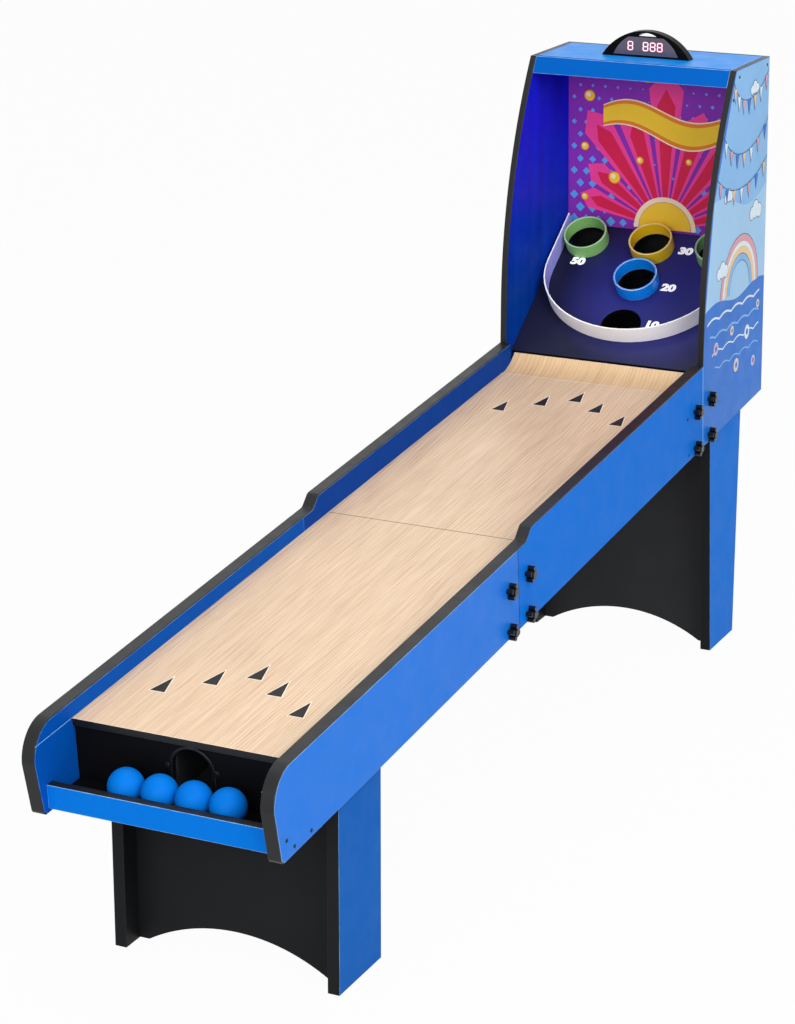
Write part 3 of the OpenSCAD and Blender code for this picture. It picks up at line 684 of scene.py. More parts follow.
def lay_box(bm, place, left, foot, right, head, level, ink):
    """Lay an upright rectangle on a face."""
    lay_flat(bm, place, [(left, foot), (right, foot), (right, head), (left, head)], level, ink)


def lay_disc(bm, place, x, y, radius, level, ink, sides=28):
    """Lay a round disc on a face."""
    centre = place @ Matrix.Translation((x, y, level * sizes().print_step))
    made = bmesh.ops.create_circle(bm, cap_ends=True, segments=sides, radius=radius, matrix=centre)
    for face in {f for v in made["verts"] for f in v.link_faces}:
        face.material_index = ink


def lay_strip(bm, place, path, level, ink, steps=32):
    """Lay a strip on a face: path(t, s) gives its points, t from 0 to 1 along it and s -1 or 1 across."""
    height = level * sizes().print_step
    made = bmesh.ops.create_grid(bm, x_segments=steps, y_segments=1, size=1.0)
    for vert in made["verts"]:
        x, y = path((vert.co.x + 1) / 2, 1 if vert.co.y > 0 else -1)
        vert.co = place @ Vector((x, y, height))
    for face in {f for v in made["verts"] for f in v.link_faces}:
        face.material_index = ink


def thicken(bm):
    """Give flat print its thickness and turn its faces outwards."""
    bm.normal_update()
    bmesh.ops.solidify(bm, geom=bm.faces[:], thickness=sizes().print_step * PRINT_FILL)
    bmesh.ops.recalc_face_normals(bm, faces=bm.faces[:])


def arc_path(x, y, radius, half_width, start, end):
    """Path of a strip along part of a circle."""
    def path(t, s):
        turn = start + (end - start) * t
        reach = radius + s * half_width
        return x + reach * math.cos(turn), y + reach * math.sin(turn)
    return path


class ALLEY_OT_stage(Operator):
    """Set the floor, the light and the camera."""

    bl_idname = "alley.stage"
    bl_label = "Stage"

    AIM = Vector((0, 0, 0.6))
    FLOOR_REACH = 60.0
    # Place and width of each light, whose power is the stage setting of the same name
    LIGHTS = {
        "key": ((4.4, -3.0, 4.0), 3.6),
        "fill": ((0.9, -5.2, 2.2), 2.4),
        "top": ((0.2, -0.2, 5.2), 3.0),
    }

    def execute(self, context):
        scene = context.scene
        stage = scene.alley_stage
        scene.view_settings.view_transform = "Standard"
        self.floor(stage)
        self.world(scene, stage)
        for name, (place, size) in self.LIGHTS.items():
            self.light(f"{name}_light", place, size, getattr(stage, name))
        self.camera(scene, stage)
        return {"FINISHED"}

    def floor(self, stage):
        """A wide pale floor that shows nearly white and keeps a soft shadow."""
        bm = bmesh.new()
        bmesh.ops.create_grid(bm, x_segments=1, y_segments=1, size=self.FLOOR_REACH)
        mesh = bpy.data.meshes.new("floor")
        bm.to_mesh(mesh)
        bm.free()
        material, tree, shader = start_material("Floor", Roughness=0.9, Specular_IOR_Level=0.1)
        shader.inputs["Base Color"].default_value = stage.floor
        ray = add(tree, "LightPath").outputs
        seen = worked(tree, "MAXIMUM", ray["Is Camera Ray"], ray["Is Glossy Ray"])
        white = add(tree, "Emission")
        share = worked(tree, "MULTIPLY", seen, stage.floor_glow)
        both = add(tree, "MixShader", {0: share, 1: shader.outputs[0], 2: white.outputs[0]})
        tree.links.new(both.outputs[0], tree.nodes["Material Output"].inputs["Surface"])
        mesh.materials.append(material)
        made = bpy.data.objects.new("floor", mesh)
        bpy.context.scene.collection.objects.link(made)

    def world(self, scene, stage):
        """Even light from all round behind a white background."""
        scene.world = bpy.data.worlds.new("Studio")
        scene.world.use_nodes = True
        tree = scene.world.node_tree
        ray = add(tree, "LightPath").outputs
        seen = worked(tree, "MAXIMUM", ray["Is Camera Ray"], ray["Is Glossy Ray"])
        seen = worked(tree, "MAXIMUM", seen, ray["Is Transmission Ray"])
        soft = add(tree, "Background", {"Color": (1, 1, 1, 1), "Strength": stage.ambient})
        white = add(tree, "Background", {"Color": (1, 1, 1, 1), "Strength": 1.0})
        both = add(tree, "MixShader", {0: seen, 1: soft.outputs[0], 2: white.outputs[0]})
        tree.links.new(both.outputs[0], tree.nodes["World Output"].inputs["Surface"])

    def light(self, name, place, size, watts):
        """A large soft light aimed at the middle of the table."""
        lamp = bpy.data.lights.new(name, "AREA")
        lamp.size = size
        lamp.energy = watts
        made = bpy.data.objects.new(name, lamp)
        made.location = place
        aim = self.AIM - Vector(place)
        made.rotation_euler = aim.to_track_quat("-Z", "Y").to_euler()
        bpy.context.scene.collection.objects.link(made)

    def camera(self, scene, stage):
        """The camera at the photograph's place and angle."""
        lens = bpy.data.cameras.new("camera")
        lens.sensor_fit = "VERTICAL"
        lens.sensor_height = 36.0
        lens.lens = stage.focal
        lens.clip_end = 200.0
        made = bpy.data.objects.new("camera", lens)
        made.location = stage.camera_place
        made.rotation_euler = (math.pi / 2 - stage.elevation, 0.0, stage.azimuth)
        scene.collection.objects.link(made)
        scene.camera = made


class ALLEY_OT_side_panels(Operator):
    """Finish the blue side panels of both lane sections."""

    bl_idname = "alley.side_panels"
    bl_label = "Side panels"

    def execute(self, context):
        for section, blue in (("front", "board_blue"), ("rear", "rear_board")):
            for side in SIDES:
                dressed(f"{section}_side_panel_{side}", "blue_board", [blue], sizes().board_round)
        self.joint_lines()
        return {"FINISHED"}

    def joint_lines(self):
        """A dark line where the panels meet, and a pale line of painted highlight where the rear panel
        meets the cabinet.
        """
        flat = LANE.inverted()
        points = [flat @ v.co for v in NODES["rear_side_panel_right"].data.vertices]
        start = min(p.y for p in points)
        end = max(p.y for p in points)
        foot = min(p.z for p in points)
        heads = [max(p.z for p in points if abs(p.y - u) < MM) for u in (start, end)]
        edge = sizes().joint_w / 2
        bm = new_shape()
        for side in SIDES.values():
            place = shifted(side * HALF_W, LANE @ sideways(side))
            for ink, (u, head) in enumerate(zip((start, end), heads)):
                left, right = sorted((side * (u - edge), side * (u + edge)))
                lay_box(bm, place, left, foot, right, head, 1, ink)
        thicken(bm)
        piece(bm, "panel_joint_lines", "blue_board", ["panel_joint", "pale_joint"])


class ALLEY_OT_guard_rails(Operator):
    """Finish the guard rails and draw a pale line of painted highlight along the seam where the tray's
    cheeks meet them.
    """

    bl_idname = "alley.guard_rails"
    bl_label = "Guard rails"

    seam_w: length("Seam width", "Width of the seam line on the cheeks", 0.9)
    seam_start: length("Seam start", "From the lane's front edge to the start of the seam line", 1.0)
    seam_end: length("Seam end", "From the lane's front edge to the end of the seam line", 106.0)

    def execute(self, context):
        for section in ("front", "rear"):
            dressed(f"{section}_guard_rails", "blue_board", [f"{section}_rail"], sizes().board_round)
        # Painted highlight: a pale line along each cheek's seam
        bm = new_shape()
        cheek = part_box("rear_guard_rails")[1].x - RAIL_T
        for side in SIDES.values():
            place = shifted(side * cheek, LANE @ sideways(-side))
            left, right = sorted((side * self.seam_start, side * self.seam_end))
            lay_box(bm, place, left, 0, right, self.seam_w, 1, 0)
        thicken(bm)
        piece(bm, "cheek_seams", "blue_board", ["pale_joint"])
        return {"FINISHED"}


class ALLEY_OT_edge_trims(Operator):
    """Finish the black trims on the rails, the noses and the cabinet's edges."""

    bl_idname = "alley.edge_trims"
    bl_label = "Edge trims"

    def execute(self, context):
        for node in ("rail_edge_trims", "cabinet_edge_trims"):
            dressed(node, "black_trim", ["trim_black"], sizes().trim_round, segments=3)
        return {"FINISHED"}


class ALLEY_OT_lane(Operator):
    """Finish the lane boards and the jump ramp."""

    bl_idname = "alley.lane"
    bl_label = "Lane"

    WOOD_OF = {"front_lane_board": "maple", "rear_lane_board": "maple", "jump_ramp": "ramp"}

    def execute(self, context):
        def rule(face):
            along = LANE.to_3x3().inverted() @ face.normal
            return 1 if along.y < -FACING else 0
        for node, wood in self.WOOD_OF.items():
            dressed(node, "maple_board", [wood, "trim_black"], sizes().board_round, rule)
        seam = max((LANE.inverted() @ v.co).y for v in NODES["front_lane_board"].data.vertices)
        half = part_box("front_lane_board")[1].x - RAIL_T
        edge = sizes().joint_w / 2
        bm = new_shape()
        lay_box(bm, LANE, -half, seam - edge, half, seam + edge, 1, 0)
        thicken(bm)
        piece(bm, "lane_joint_line", "maple_board", ["lane_joint"])
        return {"FINISHED"}


class ALLEY_OT_lane_arrows(Operator):
    """Print the aiming arrows on the lane, in two flights of five."""

    bl_idname = "alley.lane_arrows"
    bl_label = "Lane arrows"

    front_tip: length("Front tip", "Place of the front flight's first tip along the lane", 278.0)
    rear_tip: length("Rear tip", "Place of the rear flight's first tip along the lane", 1583.0)
    spread: FloatVectorProperty(
        name="Spread", description="Step across and back to the second and the third arrow of a flight",
        unit="LENGTH", size=4, default=(0.0565, 0.041, 0.121, 0.092))
    shift: length("Shift", "Distance of the flights to the right of the lane's middle", 4.5)

    def execute(self, context):
        near_x, near_u, far_x, far_u = self.spread
        flight = [(0.0, 0.0), (near_x, near_u), (-near_x, near_u), (far_x, far_u), (-far_x, far_u)]
        bm = new_shape()
        for tip in (self.front_tip, self.rear_tip):
            for x, back in flight:
                self.arrow(bm, x + self.shift, tip - back)
        thicken(bm)
        piece(bm, "lane_arrows", "maple_board", ["arrow_pale", "arrow_dark"])
        return {"FINISHED"}

    def arrow(self, bm, x, tip):
        """One arrow: a pale triangle with a dark one drawn in on it."""
        s = sizes()
        half = s.arrow_w / 2
        flank = math.hypot(half, s.arrow_len)
        tip_in = s.arrow_line * flank / half
        foot_in = s.arrow_line * (flank + half) / s.arrow_len
        foot = tip - s.arrow_len
        lay_flat(bm, LANE, [(x - half, foot), (x + half, foot), (x, tip)], 1, 0)
        half -= foot_in
        foot += s.arrow_line
        lay_flat(bm, LANE, [(x - half, foot), (x + half, foot), (x, tip - tip_in)], 2, 1)


class ALLEY_OT_ball_tray(Operator):
    """Finish the ball tray: apron, floor, back panel and the rim of the return."""

    bl_idname = "alley.ball_tray"
    bl_label = "Ball tray"

    def execute(self, context):
        turn = LANE.to_3x3().inverted()

        def apron_rule(face):
            facing = turn @ face.normal
            return 1 if facing.y > 0.5 or facing.z > 0.8 else 0
        dressed("tray_apron", "blue_board", ["apron_blue", "trim_black"], sizes().post_round, apron_rule)
        for node in ("ball_tray_floor", "tray_back_panel"):
            dressed(node, "black_board", ["tray_black"], sizes().board_round)
        dressed("return_mouth_bezel", "black_plastic", ["knob_black"], sizes().board_round, segments=3)
        return {"FINISHED"}


class ALLEY_OT_balls(Operator):
    """Make the four balls, each with a fine mould seam."""

    bl_idname = "alley.balls"
    bl_label = "Balls"

    # Turns of the balls in radians, so that no two seams lie the same way
    FIRST_ROLL = 0.5
    ROLL_STEP = 0.7
    TURN_STEP = 0.9

    def execute(self, context):
        for number in range(1, 5):
            low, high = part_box(f"ball_{number}")
            centre = (low + high) / 2
            radius = (high.z - low.z) / 2
            roll = Matrix.Rotation(self.FIRST_ROLL + self.ROLL_STEP * number, 4, "X")
            tilt = roll @ Matrix.Rotation(self.TURN_STEP * number, 4, "Y")
            bm = new_shape()
            bmesh.ops.create_uvsphere(bm, u_segments=96, v_segments=64, radius=radius)
            for vert in bm.verts:
                if abs(vert.co.z) < MERGE:
                    vert.co *= 1 + sizes().seam / radius
            bmesh.ops.transform(bm, matrix=Matrix.Translation(centre) @ tilt, verts=bm.verts[:])
            node = f"ball_{number}"
            piece(bm, node + "_finished", "blue_ball", ["ball_blue"], BODY_OF[node], [node])
        return {"FINISHED"}


class ALLEY_OT_cabinet_shell(Operator):
    """Finish the cabinet's sides, top, header, backboard and rear cover."""

    bl_idname = "alley.cabinet_shell"
    bl_label = "Cabinet shell"

    def execute(self, context):
        radius = sizes().board_round
        for name, side in SIDES.items():
            def rule(face, side=side):
                if abs(face.normal.x) < 0.8:
                    return 2
                return 0 if face.normal.x * side > 0 else 1
            finishes = ["side_blue", "lining", "trim_black"]
            dressed(f"cabinet_side_{name}", "blue_board", finishes, radius, rule)
        dressed("cabinet_top", "blue_board", ["top_blue"], radius)
        dressed("header_board", "blue_board", ["header_blue"], radius)
        dressed("backboard", "backboard_print", ["back_purple"], radius)
        dressed("rear_cover", "black_board", ["board_black"], radius)
        return {"FINISHED"}


def cabinet_edges():
    """Front edge of a cabinet side above the rails as (height, y) points, and its back edge's ends."""
    low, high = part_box("cabinet_side_right")
    rail_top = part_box("rear_guard_rails")[1].z
    corners = [v.co for v in NODES["cabinet_side_right"].data.vertices]
    points = sorted({(round(p.z, 5), round(p.y, 5)) for p in corners})
    middle = (low.y + high.y) / 2
    heights = sorted({p[0] for p in points if p[0] > rail_top - 5 * MM and p[1] < middle})
    front = [(z, min(p[1] for p in points if p[0] == z)) for z in heights]
    heel = max(points, key=lambda p: p[1])
    top = max(p for p in points if abs(p[0] - high.z) < MM)
    return front, heel, top


class ALLEY_OT_side_prints(Operator):
    """Print the cabinet's sides: two fields of sky, a rainbow, clouds, strings of pennants and waves."""

    bl_idname = "alley.side_prints"
    bl_label = "Side prints"

    margin: length("Margin", "Bare edge round the print", 1.5)
    horizon: length("Horizon", "Height of the line between the fields and the waves", 738.0)
    swell_z: length("Swell", "Height of the wavy line between the two fields", 930.0)
    outline: length("Outline", "Width of the dark line round clouds and pennants", 1.5)

    # Lift of the wavy line between the fields and of the horizon
    SWELL_LIFT = 20 * MM
    HORIZON_LIFT = 8 * MM
    # Clouds: share of the way from the front edge to the back edge, height in metres, and size
    CLOUDS = ((0.25, 0.80, 0.9), (0.80, 0.885, 1.0), (0.26, 0.945, 0.7), (0.62, 1.135, 0.7))
    # Discs of a cloud of size 1: millimetres across, up and in radius
    PUFFS = ((-20, 0, 13), (0, 6, 18), (22, 0, 14))
    # Heights and sags of the strings in metres, and the size of a pennant with its outline's longer tip
    STRINGS = ((1.165, 0.045), (1.068, 0.05), (0.99, 0.04))
    PENNANTS = 7
    PENNANT_HALF = 8.5 * MM
    PENNANT_DROP = 26 * MM
    PENNANT_TIP = 4 * MM
    CORD_HALF = 0.9 * MM
    # Place of the rainbow along the side and over the horizon; its bands from the outside in, with
    # their widths in millimetres
    RAINBOW_SHARE = 0.56
    RAINBOW_LIFT = 6 * MM
    RAINBOW_OUTER = 112 * MM
    BANDS = (
        ("side_line", 1.6), ("side_pink", 14), ("side_foam", 9), ("side_peach", 14), ("side_line", 1.6),
        ("side_sky", 12), ("side_line", 1.6))
    # Rows of waves below the horizon
    WAVE_ROWS = 4
    WAVE_DROP = 28 * MM
    WAVE_PITCH = 34 * MM
    WAVE_LIFT = 7 * MM
    WAVE_HALF = 2.2 * MM
    WAVE_LOSS = 0.3 * MM
    # Bubbles: share of the way back, height in metres, radius in millimetres and ink
    BUBBLES = (
        (0.2, 0.652, 11, "side_pink"), (0.46, 0.668, 8, "side_peach"), (0.72, 0.645, 13, "side_foam"),
        (0.9, 0.69, 7, "side_peach"), (0.84, 0.575, 9, "side_pink"), (0.55, 0.59, 12, "side_peach"))
    BUBBLE_RIM = 1.6 * MM

    def execute(self, context):
        self.front, self.heel, self.top = cabinet_edges()
        self.ink = {name: i for i, name in enumerate(SIDE_INKS)}
        for name, side in SIDES.items():
            self.side = side
            self.place = shifted(side * HALF_W, sideways(side))
            bm = new_shape()
            self.fields(bm)
            self.rainbow(bm)
            self.clouds(bm)
            self.pennants(bm)
            self.waves(bm)
            thicken(bm)
            piece(bm, f"cabinet_side_print_{name}", "blue_board", SIDE_INKS)
        return {"FINISHED"}

    def point(self, share, z):
        """A place on the side: share from the front edge (0) to the back edge (1), at a height."""
        front = self.front[-1][1]
        for (z0, y0), (z1, y1) in zip(self.front, self.front[1:]):
            if z <= z1:
                front = y0 + (y1 - y0) * max(0.0, (z - z0) / (z1 - z0))
                break
        rise = (z - self.heel[0]) / (self.top[0] - self.heel[0])
        back = self.heel[1] + (self.top[1] - self.heel[1]) * rise
        y = front + self.margin + (back - front - 2 * self.margin) * share
        return self.side * y, z

    def strip(self, bm, path, level, tint, steps):
        """A strip of one ink on the side."""
        lay_strip(bm, self.place, path, level, self.ink[tint], steps)

    def disc(self, bm, x, y, radius, level, tint, sides=28):
        """A disc of one ink on the side."""
        lay_disc(bm, self.place, x, y, radius, level, self.ink[tint], sides)

    def fields(self, bm):
        """Two wavy fields of sky over the blue ground."""
        top = self.top[0] - self.margin

        def swell(t):
            return self.swell_z + self.SWELL_LIFT * math.sin(5.5 * t + 1)

        def ground(t):
            return self.horizon + self.HORIZON_LIFT * math.sin(9 * t)

        def upper(t, s):
            return self.point(t, top if s > 0 else swell(t))

        def lower(t, s):
            return self.point(t, swell(t) if s > 0 else ground(t))
        self.strip(bm, upper, 1, "side_sky", 48)
        self.strip(bm, lower, 1, "side_mist", 48)

    def rainbow(self, bm):
        """Bands of a rainbow that stands on the horizon."""
        x, y = self.point(self.RAINBOW_SHARE, self.horizon + self.RAINBOW_LIFT)
        outer = self.RAINBOW_OUTER
        for tint, width in self.BANDS:
            half = width * MM / 2
            self.strip(bm, arc_path(x, y, outer - half, half, 0.0, math.pi), 2, tint, 40)
            outer -= width * MM

    def clouds(self, bm):
        """Clouds of three discs with a dark line round them."""
        for share, z, size in self.CLOUDS:
            for dx, dz, r in self.PUFFS:
                x, y = self.point(share, z + dz * MM * size)
                x += dx * MM * size
                over = 0.3 * (dx > 0) + 0.6 * (dx == 0)
                radius = r * size * MM
                self.disc(bm, x, y, radius + self.outline, 4 + over, "side_line")
                self.disc(bm, x, y, radius, 5 + over, "side_foam")

    def pennants(self, bm):
        """Strings of pennants that hang between the edges."""
        tints = ("side_peach", "side_foam", "side_pink", "side_blue")
        for string, (z, sag) in enumerate(self.STRINGS):
            def cord(t, s, z=z, sag=sag):
                return self.point(t, z - sag * 4 * t * (1 - t) + s * self.CORD_HALF)
            self.strip(bm, cord, 6, "side_line", 36)
            for i in range(self.PENNANTS):
                x, y = cord((i + 0.5) / self.PENNANTS, -1)
                tint = tints[(i + string) % len(tints)]
                self.pennant(bm, x, y, self.outline, self.PENNANT_TIP, 7, "side_line")
                self.pennant(bm, x, y, 0.0, 0.0, 8, tint)

    def pennant(self, bm, x, y, wider, longer, level, tint):
        """One pennant, made wider at each side and longer for its outline."""
        half = self.PENNANT_HALF + wider
        tip = (x, y - self.PENNANT_DROP - longer)
        lay_flat(bm, self.place, [(x - half, y), (x + half, y), tip], level, self.ink[tint])

    def waves(self, bm):
        """Lines of foam and bubbles on the blue ground below the horizon."""
        for row in range(self.WAVE_ROWS):
            z = self.horizon - self.WAVE_DROP - self.WAVE_PITCH * row
            inset = 0.04 + 0.05 * row
            half = self.WAVE_HALF - self.WAVE_LOSS * row

            def crest(t, s, z=z, row=row, inset=inset, half=half):
                lift = self.WAVE_LIFT * abs(math.sin(math.pi * (4.5 * t + 0.5 * row)))
                return self.point(inset + t * (0.92 - inset), z + lift + s * half)
            self.strip(bm, crest, 1, "side_foam" if row % 2 == 0 else "side_sky", 60)
        for share, z, r, tint in self.BUBBLES:
            x, y = self.point(share, z)
            self.disc(bm, x, y, r * MM + self.BUBBLE_RIM, 2, "side_foam")
            self.disc(bm, x, y, r * MM, 3, tint)
            self.disc(bm, x, y, r * 0.5 * MM, 4, "side_blue", 24)


class ALLEY_OT_back_print(Operator):
    """Print the backboard: a fan of rays, diamonds, gold discs and a bare ribbon."""

    bl_idname = "alley.back_print"
    bl_label = "Backboard print"

    margin: length("Margin", "Bare edge round the print", 1.5)
    pitch: length("Diamond pitch", "Distance between neighbouring diamonds", 27.0)

    # Rows of diamonds, columns to each side, half size in the first row, loss per row and least half size
    ROWS = 14
    COLUMNS = 8
    DIAMOND_HALF = 10.5 * MM
    DIAMOND_LOSS = 0.62 * MM
    DIAMOND_LEAST = 1.6 * MM
    # Foot of the fan of rays, their number and the degrees between them
    FAN_FOOT = (0.01, 0.006)
    RAY_COUNT = 9
    RAY_TURN = 18
    # Half angle in degrees, share of the reach, level and ink of a wide and a narrow ray
    RAYS = ((7.4, 1.0, 2, "back_pink"), (4.4, 0.88, 3, "back_crimson"))
    RAY_POINT = 1.13
    # Middle radius, half width and ink of the sun at the fan's foot and of the band round it
    SUN = ((0.028, 0.028, "back_gold"), (0.062, 0.005, "back_cream"))
    # Half widths in millimetres, levels and inks of the ribbon
    RIBBON = ((31, 5, "back_cream"), (28, 6, "back_orange"), (20, 7, "back_gold"))
    RIBBON_START = -0.125
    RIBBON_LENGTH = 0.285
    RIBBON_MIDDLE = 0.222
    # Places in metres and radii in millimetres of the discs
    DISCS = (
        (-0.155, 0.27, 12), (-0.105, 0.315, 8), (-0.03, 0.318, 13), (0.075, 0.32, 9), (0.16, 0.305, 12),
        (-0.165, 0.165, 9), (-0.10, 0.105, 13), (0.17, 0.15, 11), (0.12, 0.085, 13), (-0.045, 0.145, 8),
        (0.06, 0.15, 7), (-0.165, 0.06, 8))
    DISC_RIM = 2 * MM

    def execute(self, context):
        low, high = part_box("backboard")
        self.half = high.x - self.margin
        self.tall = high.z - low.z - 2 * self.margin
        self.ink = {name: i for i, name in enumerate(BACK_INKS)}
        bm = new_shape()
        self.diamonds(bm)
        self.rays(bm)
        self.ribbon(bm)
        self.discs(bm)
        thicken(bm)
        piece(bm, "backboard_print", "backboard_print", BACK_INKS)
        return {"FINISHED"}

    def diamonds(self, bm):
        """A field of diamonds that shrink away from the lower corners."""
        for row in range(self.ROWS):
            y = (row + 0.45) * self.pitch * 0.94
            for column in range(-self.COLUMNS, self.COLUMNS + 1):
                x = (column + 0.5 * (row % 2)) * self.pitch
                size = (self.DIAMOND_HALF - self.DIAMOND_LOSS * row) * min(1.0, abs(x) / 0.14 + 0.2)
                inside = abs(x) + size <= self.half and size <= y <= self.tall - size
                if inside and size >= self.DIAMOND_LEAST:
                    corners = [(x + size, y), (x, y + size), (x - size, y), (x, y - size)]
                    lay_flat(bm, BACK, corners, 1, self.ink["back_sky"])

    def rays(self, bm):
        """Rays that fan up from the foot of the board, a narrow one on each wide one, and a sun."""
        for i in range(self.RAY_COUNT):
            turn = math.radians(self.RAY_TURN * (i + 1))
            reach = (0.19 + 0.10 * math.sin(turn) ** 2) * (1.0 if i % 2 == 0 else 0.82)
            room = 0.86 * (self.half - self.FAN_FOOT[0])
            reach = min(reach, room / max(0.1, abs(math.cos(turn))))
            for spread, share, level, tint in self.RAYS:
                fan = math.radians(spread)
                corners = [self.from_foot(reach * share, turn - fan),
                           self.from_foot(reach * share * self.RAY_POINT, turn),
                           self.from_foot(reach * share, turn + fan)]
                lay_flat(bm, BACK, [self.FAN_FOOT, *corners], level, self.ink[tint])
        for radius, half, tint in self.SUN:
            lay_strip(bm, BACK, arc_path(*self.FAN_FOOT, radius, half, 0.0, math.pi), 4, self.ink[tint], 32)

    def from_foot(self, reach, turn):
        """A place at a distance and a turn from the fan's foot."""
        return self.FAN_FOOT[0] + reach * math.cos(turn), self.FAN_FOOT[1] + reach * math.sin(turn)

    def ribbon(self, bm):
        """A bare waving ribbon in gold with an orange edge and a cream line."""
        for half, level, tint in self.RIBBON:
            def path(t, s, half=half):
                reach = half * MM * (0.72 + 0.28 * math.sin(math.pi * t))
                middle = self.RIBBON_MIDDLE + 0.02 * math.sin(2 * math.pi * t + 0.5)
                return self.RIBBON_START + self.RIBBON_LENGTH * t, middle + s * reach
            lay_strip(bm, BACK, path, level, self.ink[tint], 48)

    def discs(self, bm):
        """Gold discs with orange rims and a light spot, scattered round the ribbon."""
        for x, y, r in self.DISCS:
            spot = 0.2 * r * MM
            lay_disc(bm, BACK, x, y, r * MM, 8, self.ink["back_orange"])
            lay_disc(bm, BACK, x, y, r * MM - self.DISC_RIM, 9, self.ink["back_gold"])
            lay_disc(bm, BACK, x - spot, y + spot, 2 * spot, 10, self.ink["back_cream"], 24)


class ALLEY_OT_targets(Operator):
    """Finish the target board and its fence, and make the four score rings."""

    bl_idname = "alley.targets"
    bl_label = "Targets"

    RINGS = {"ring_50_left": "green", "ring_50_right": "green", "ring_30": "yellow", "ring_20": "blue"}
    RING_STEPS = 96
    # A place inside the fence, in the target board's frame
    FENCE_MIDDLE = Vector((0, 0.28, 0))

    def execute(self, context):
        radius = sizes().board_round
        dressed("target_board", "target_print", ["target", "tray_black"], radius, self.wall_rule)
        dressed("fence_band", "white_band", ["fence_white", "fence_inner"], radius, self.fence_rule)
        for node, tint in self.RINGS.items():
            self.ring(node, tint)
        return {"FINISHED"}

    def wall_rule(self, face):
        """1 for the walls of the board's holes and its edges, 0 for its faces."""
        return 1 if abs((BOARD.to_3x3().inverted() @ face.normal).z) < 0.5 else 0

    def fence_rule(self, face):
        """1 for the band's inner face, 0 for the rest."""
        flat = BOARD.inverted()
        facing = flat.to_3x3() @ face.normal
        inwards = self.FENCE_MIDDLE - flat @ face.calc_center_median()
        return 1 if abs(facing.z) < 0.5 and facing.xy.dot(inwards.xy) > 0 else 0

    def ring(self, node, tint):
        """Spin a ring's wall and round its rims."""
        flat = BOARD.inverted()
        points = [flat @ v.co for v in NODES[node].data.vertices]
        low = Vector([min(p[i] for p in points) for i in range(3)])
        high = Vector([max(p[i] for p in points) for i in range(3)])
        centre = (low + high) / 2
        outer = (high.x - low.x) / 2
        inner = min(math.hypot(p.x - centre.x, p.y - centre.y) for p in points)
        bm = new_shape()
        corners = [bm.verts.new((r, 0, z)) for r, z in
                   ((inner, low.z), (outer, low.z), (outer, high.z), (inner, high.z))]
        wall = [bm.edges.new((corners[i], corners[(i + 1) % 4])) for i in range(4)]
        bmesh.ops.spin(bm, geom=corners + wall, cent=(0, 0, 0), axis=(0, 0, 1), angle=math.tau,
                       steps=self.RING_STEPS, use_merge=True)
        bmesh.ops.recalc_face_normals(bm, faces=bm.faces[:])
        round_edges(bm, sizes().ring_round, 3)
        place = BOARD @ Matrix.Translation((centre.x, centre.y, 0))
        bmesh.ops.transform(bm, matrix=place, verts=bm.verts[:])
        piece(bm, node + "_finished", f"{tint}_ring", [f"ring_{tint}"], BODY_OF[node], [node])


class ALLEY_OT_score_numbers(Operator):
    """Print the score numbers on the target board."""

    bl_idname = "alley.score_numbers"
    bl_label = "Score numbers"

    # Each number with its place across and up the target board in millimetres
    PLACES = (
        ("50", -145.5, 250.5), ("50", 145.5, 250.5), ("30", 69.5, 306.5), ("20", 65.5, 205.5),
        ("10", 62.5, 105.0))
    # Lean, weight and width of the type against its size
    LEAN = 0.06
    WEIGHT = 0.058
    WIDTH = 1.19

    def execute(self, context):
        bm = new_shape()
        for text, x, y in self.PLACES:
            self.number(bm, text, x * MM, y * MM)
        thicken(bm)
        piece(bm, "score_numbers", "target_print", ["number_white"])
        return {"FINISHED"}

    def number(self, bm, text, x, y):
        """One number as flat faces, leaning and heavy."""
        type_face = bpy.data.curves.new("number", "FONT")
        type_face.body = text
        type_face.size = 1.0
        type_face.shear = self.LEAN
        type_face.offset = self.WEIGHT
        type_face.resolution_u = 6
        type_face.align_x = "CENTER"
        type_face.align_y = "CENTER"
        holder = bpy.data.objects.new("number", type_face)
        bpy.context.scene.collection.objects.link(holder)
        seen = holder.evaluated_get(bpy.context.evaluated_depsgraph_get())
        mesh = bpy.data.meshes.new_from_object(seen)
        old_verts = set(bm.verts)
        bm.from_mesh(mesh)
        size = sizes().number_h
        place = BOARD @ Matrix.Translation((x, y, sizes().print_step))
        place = place @ Matrix.Diagonal((size * self.WIDTH, size, 1.0, 1.0))
        fresh = [v for v in bm.verts if v not in old_verts]
        bmesh.ops.transform(bm, matrix=place, verts=fresh)
        bmesh.ops.remove_doubles(bm, verts=fresh, dist=MERGE)
        bpy.data.objects.remove(holder)
        bpy.data.curves.remove(type_face)
        bpy.data.meshes.remove(mesh)


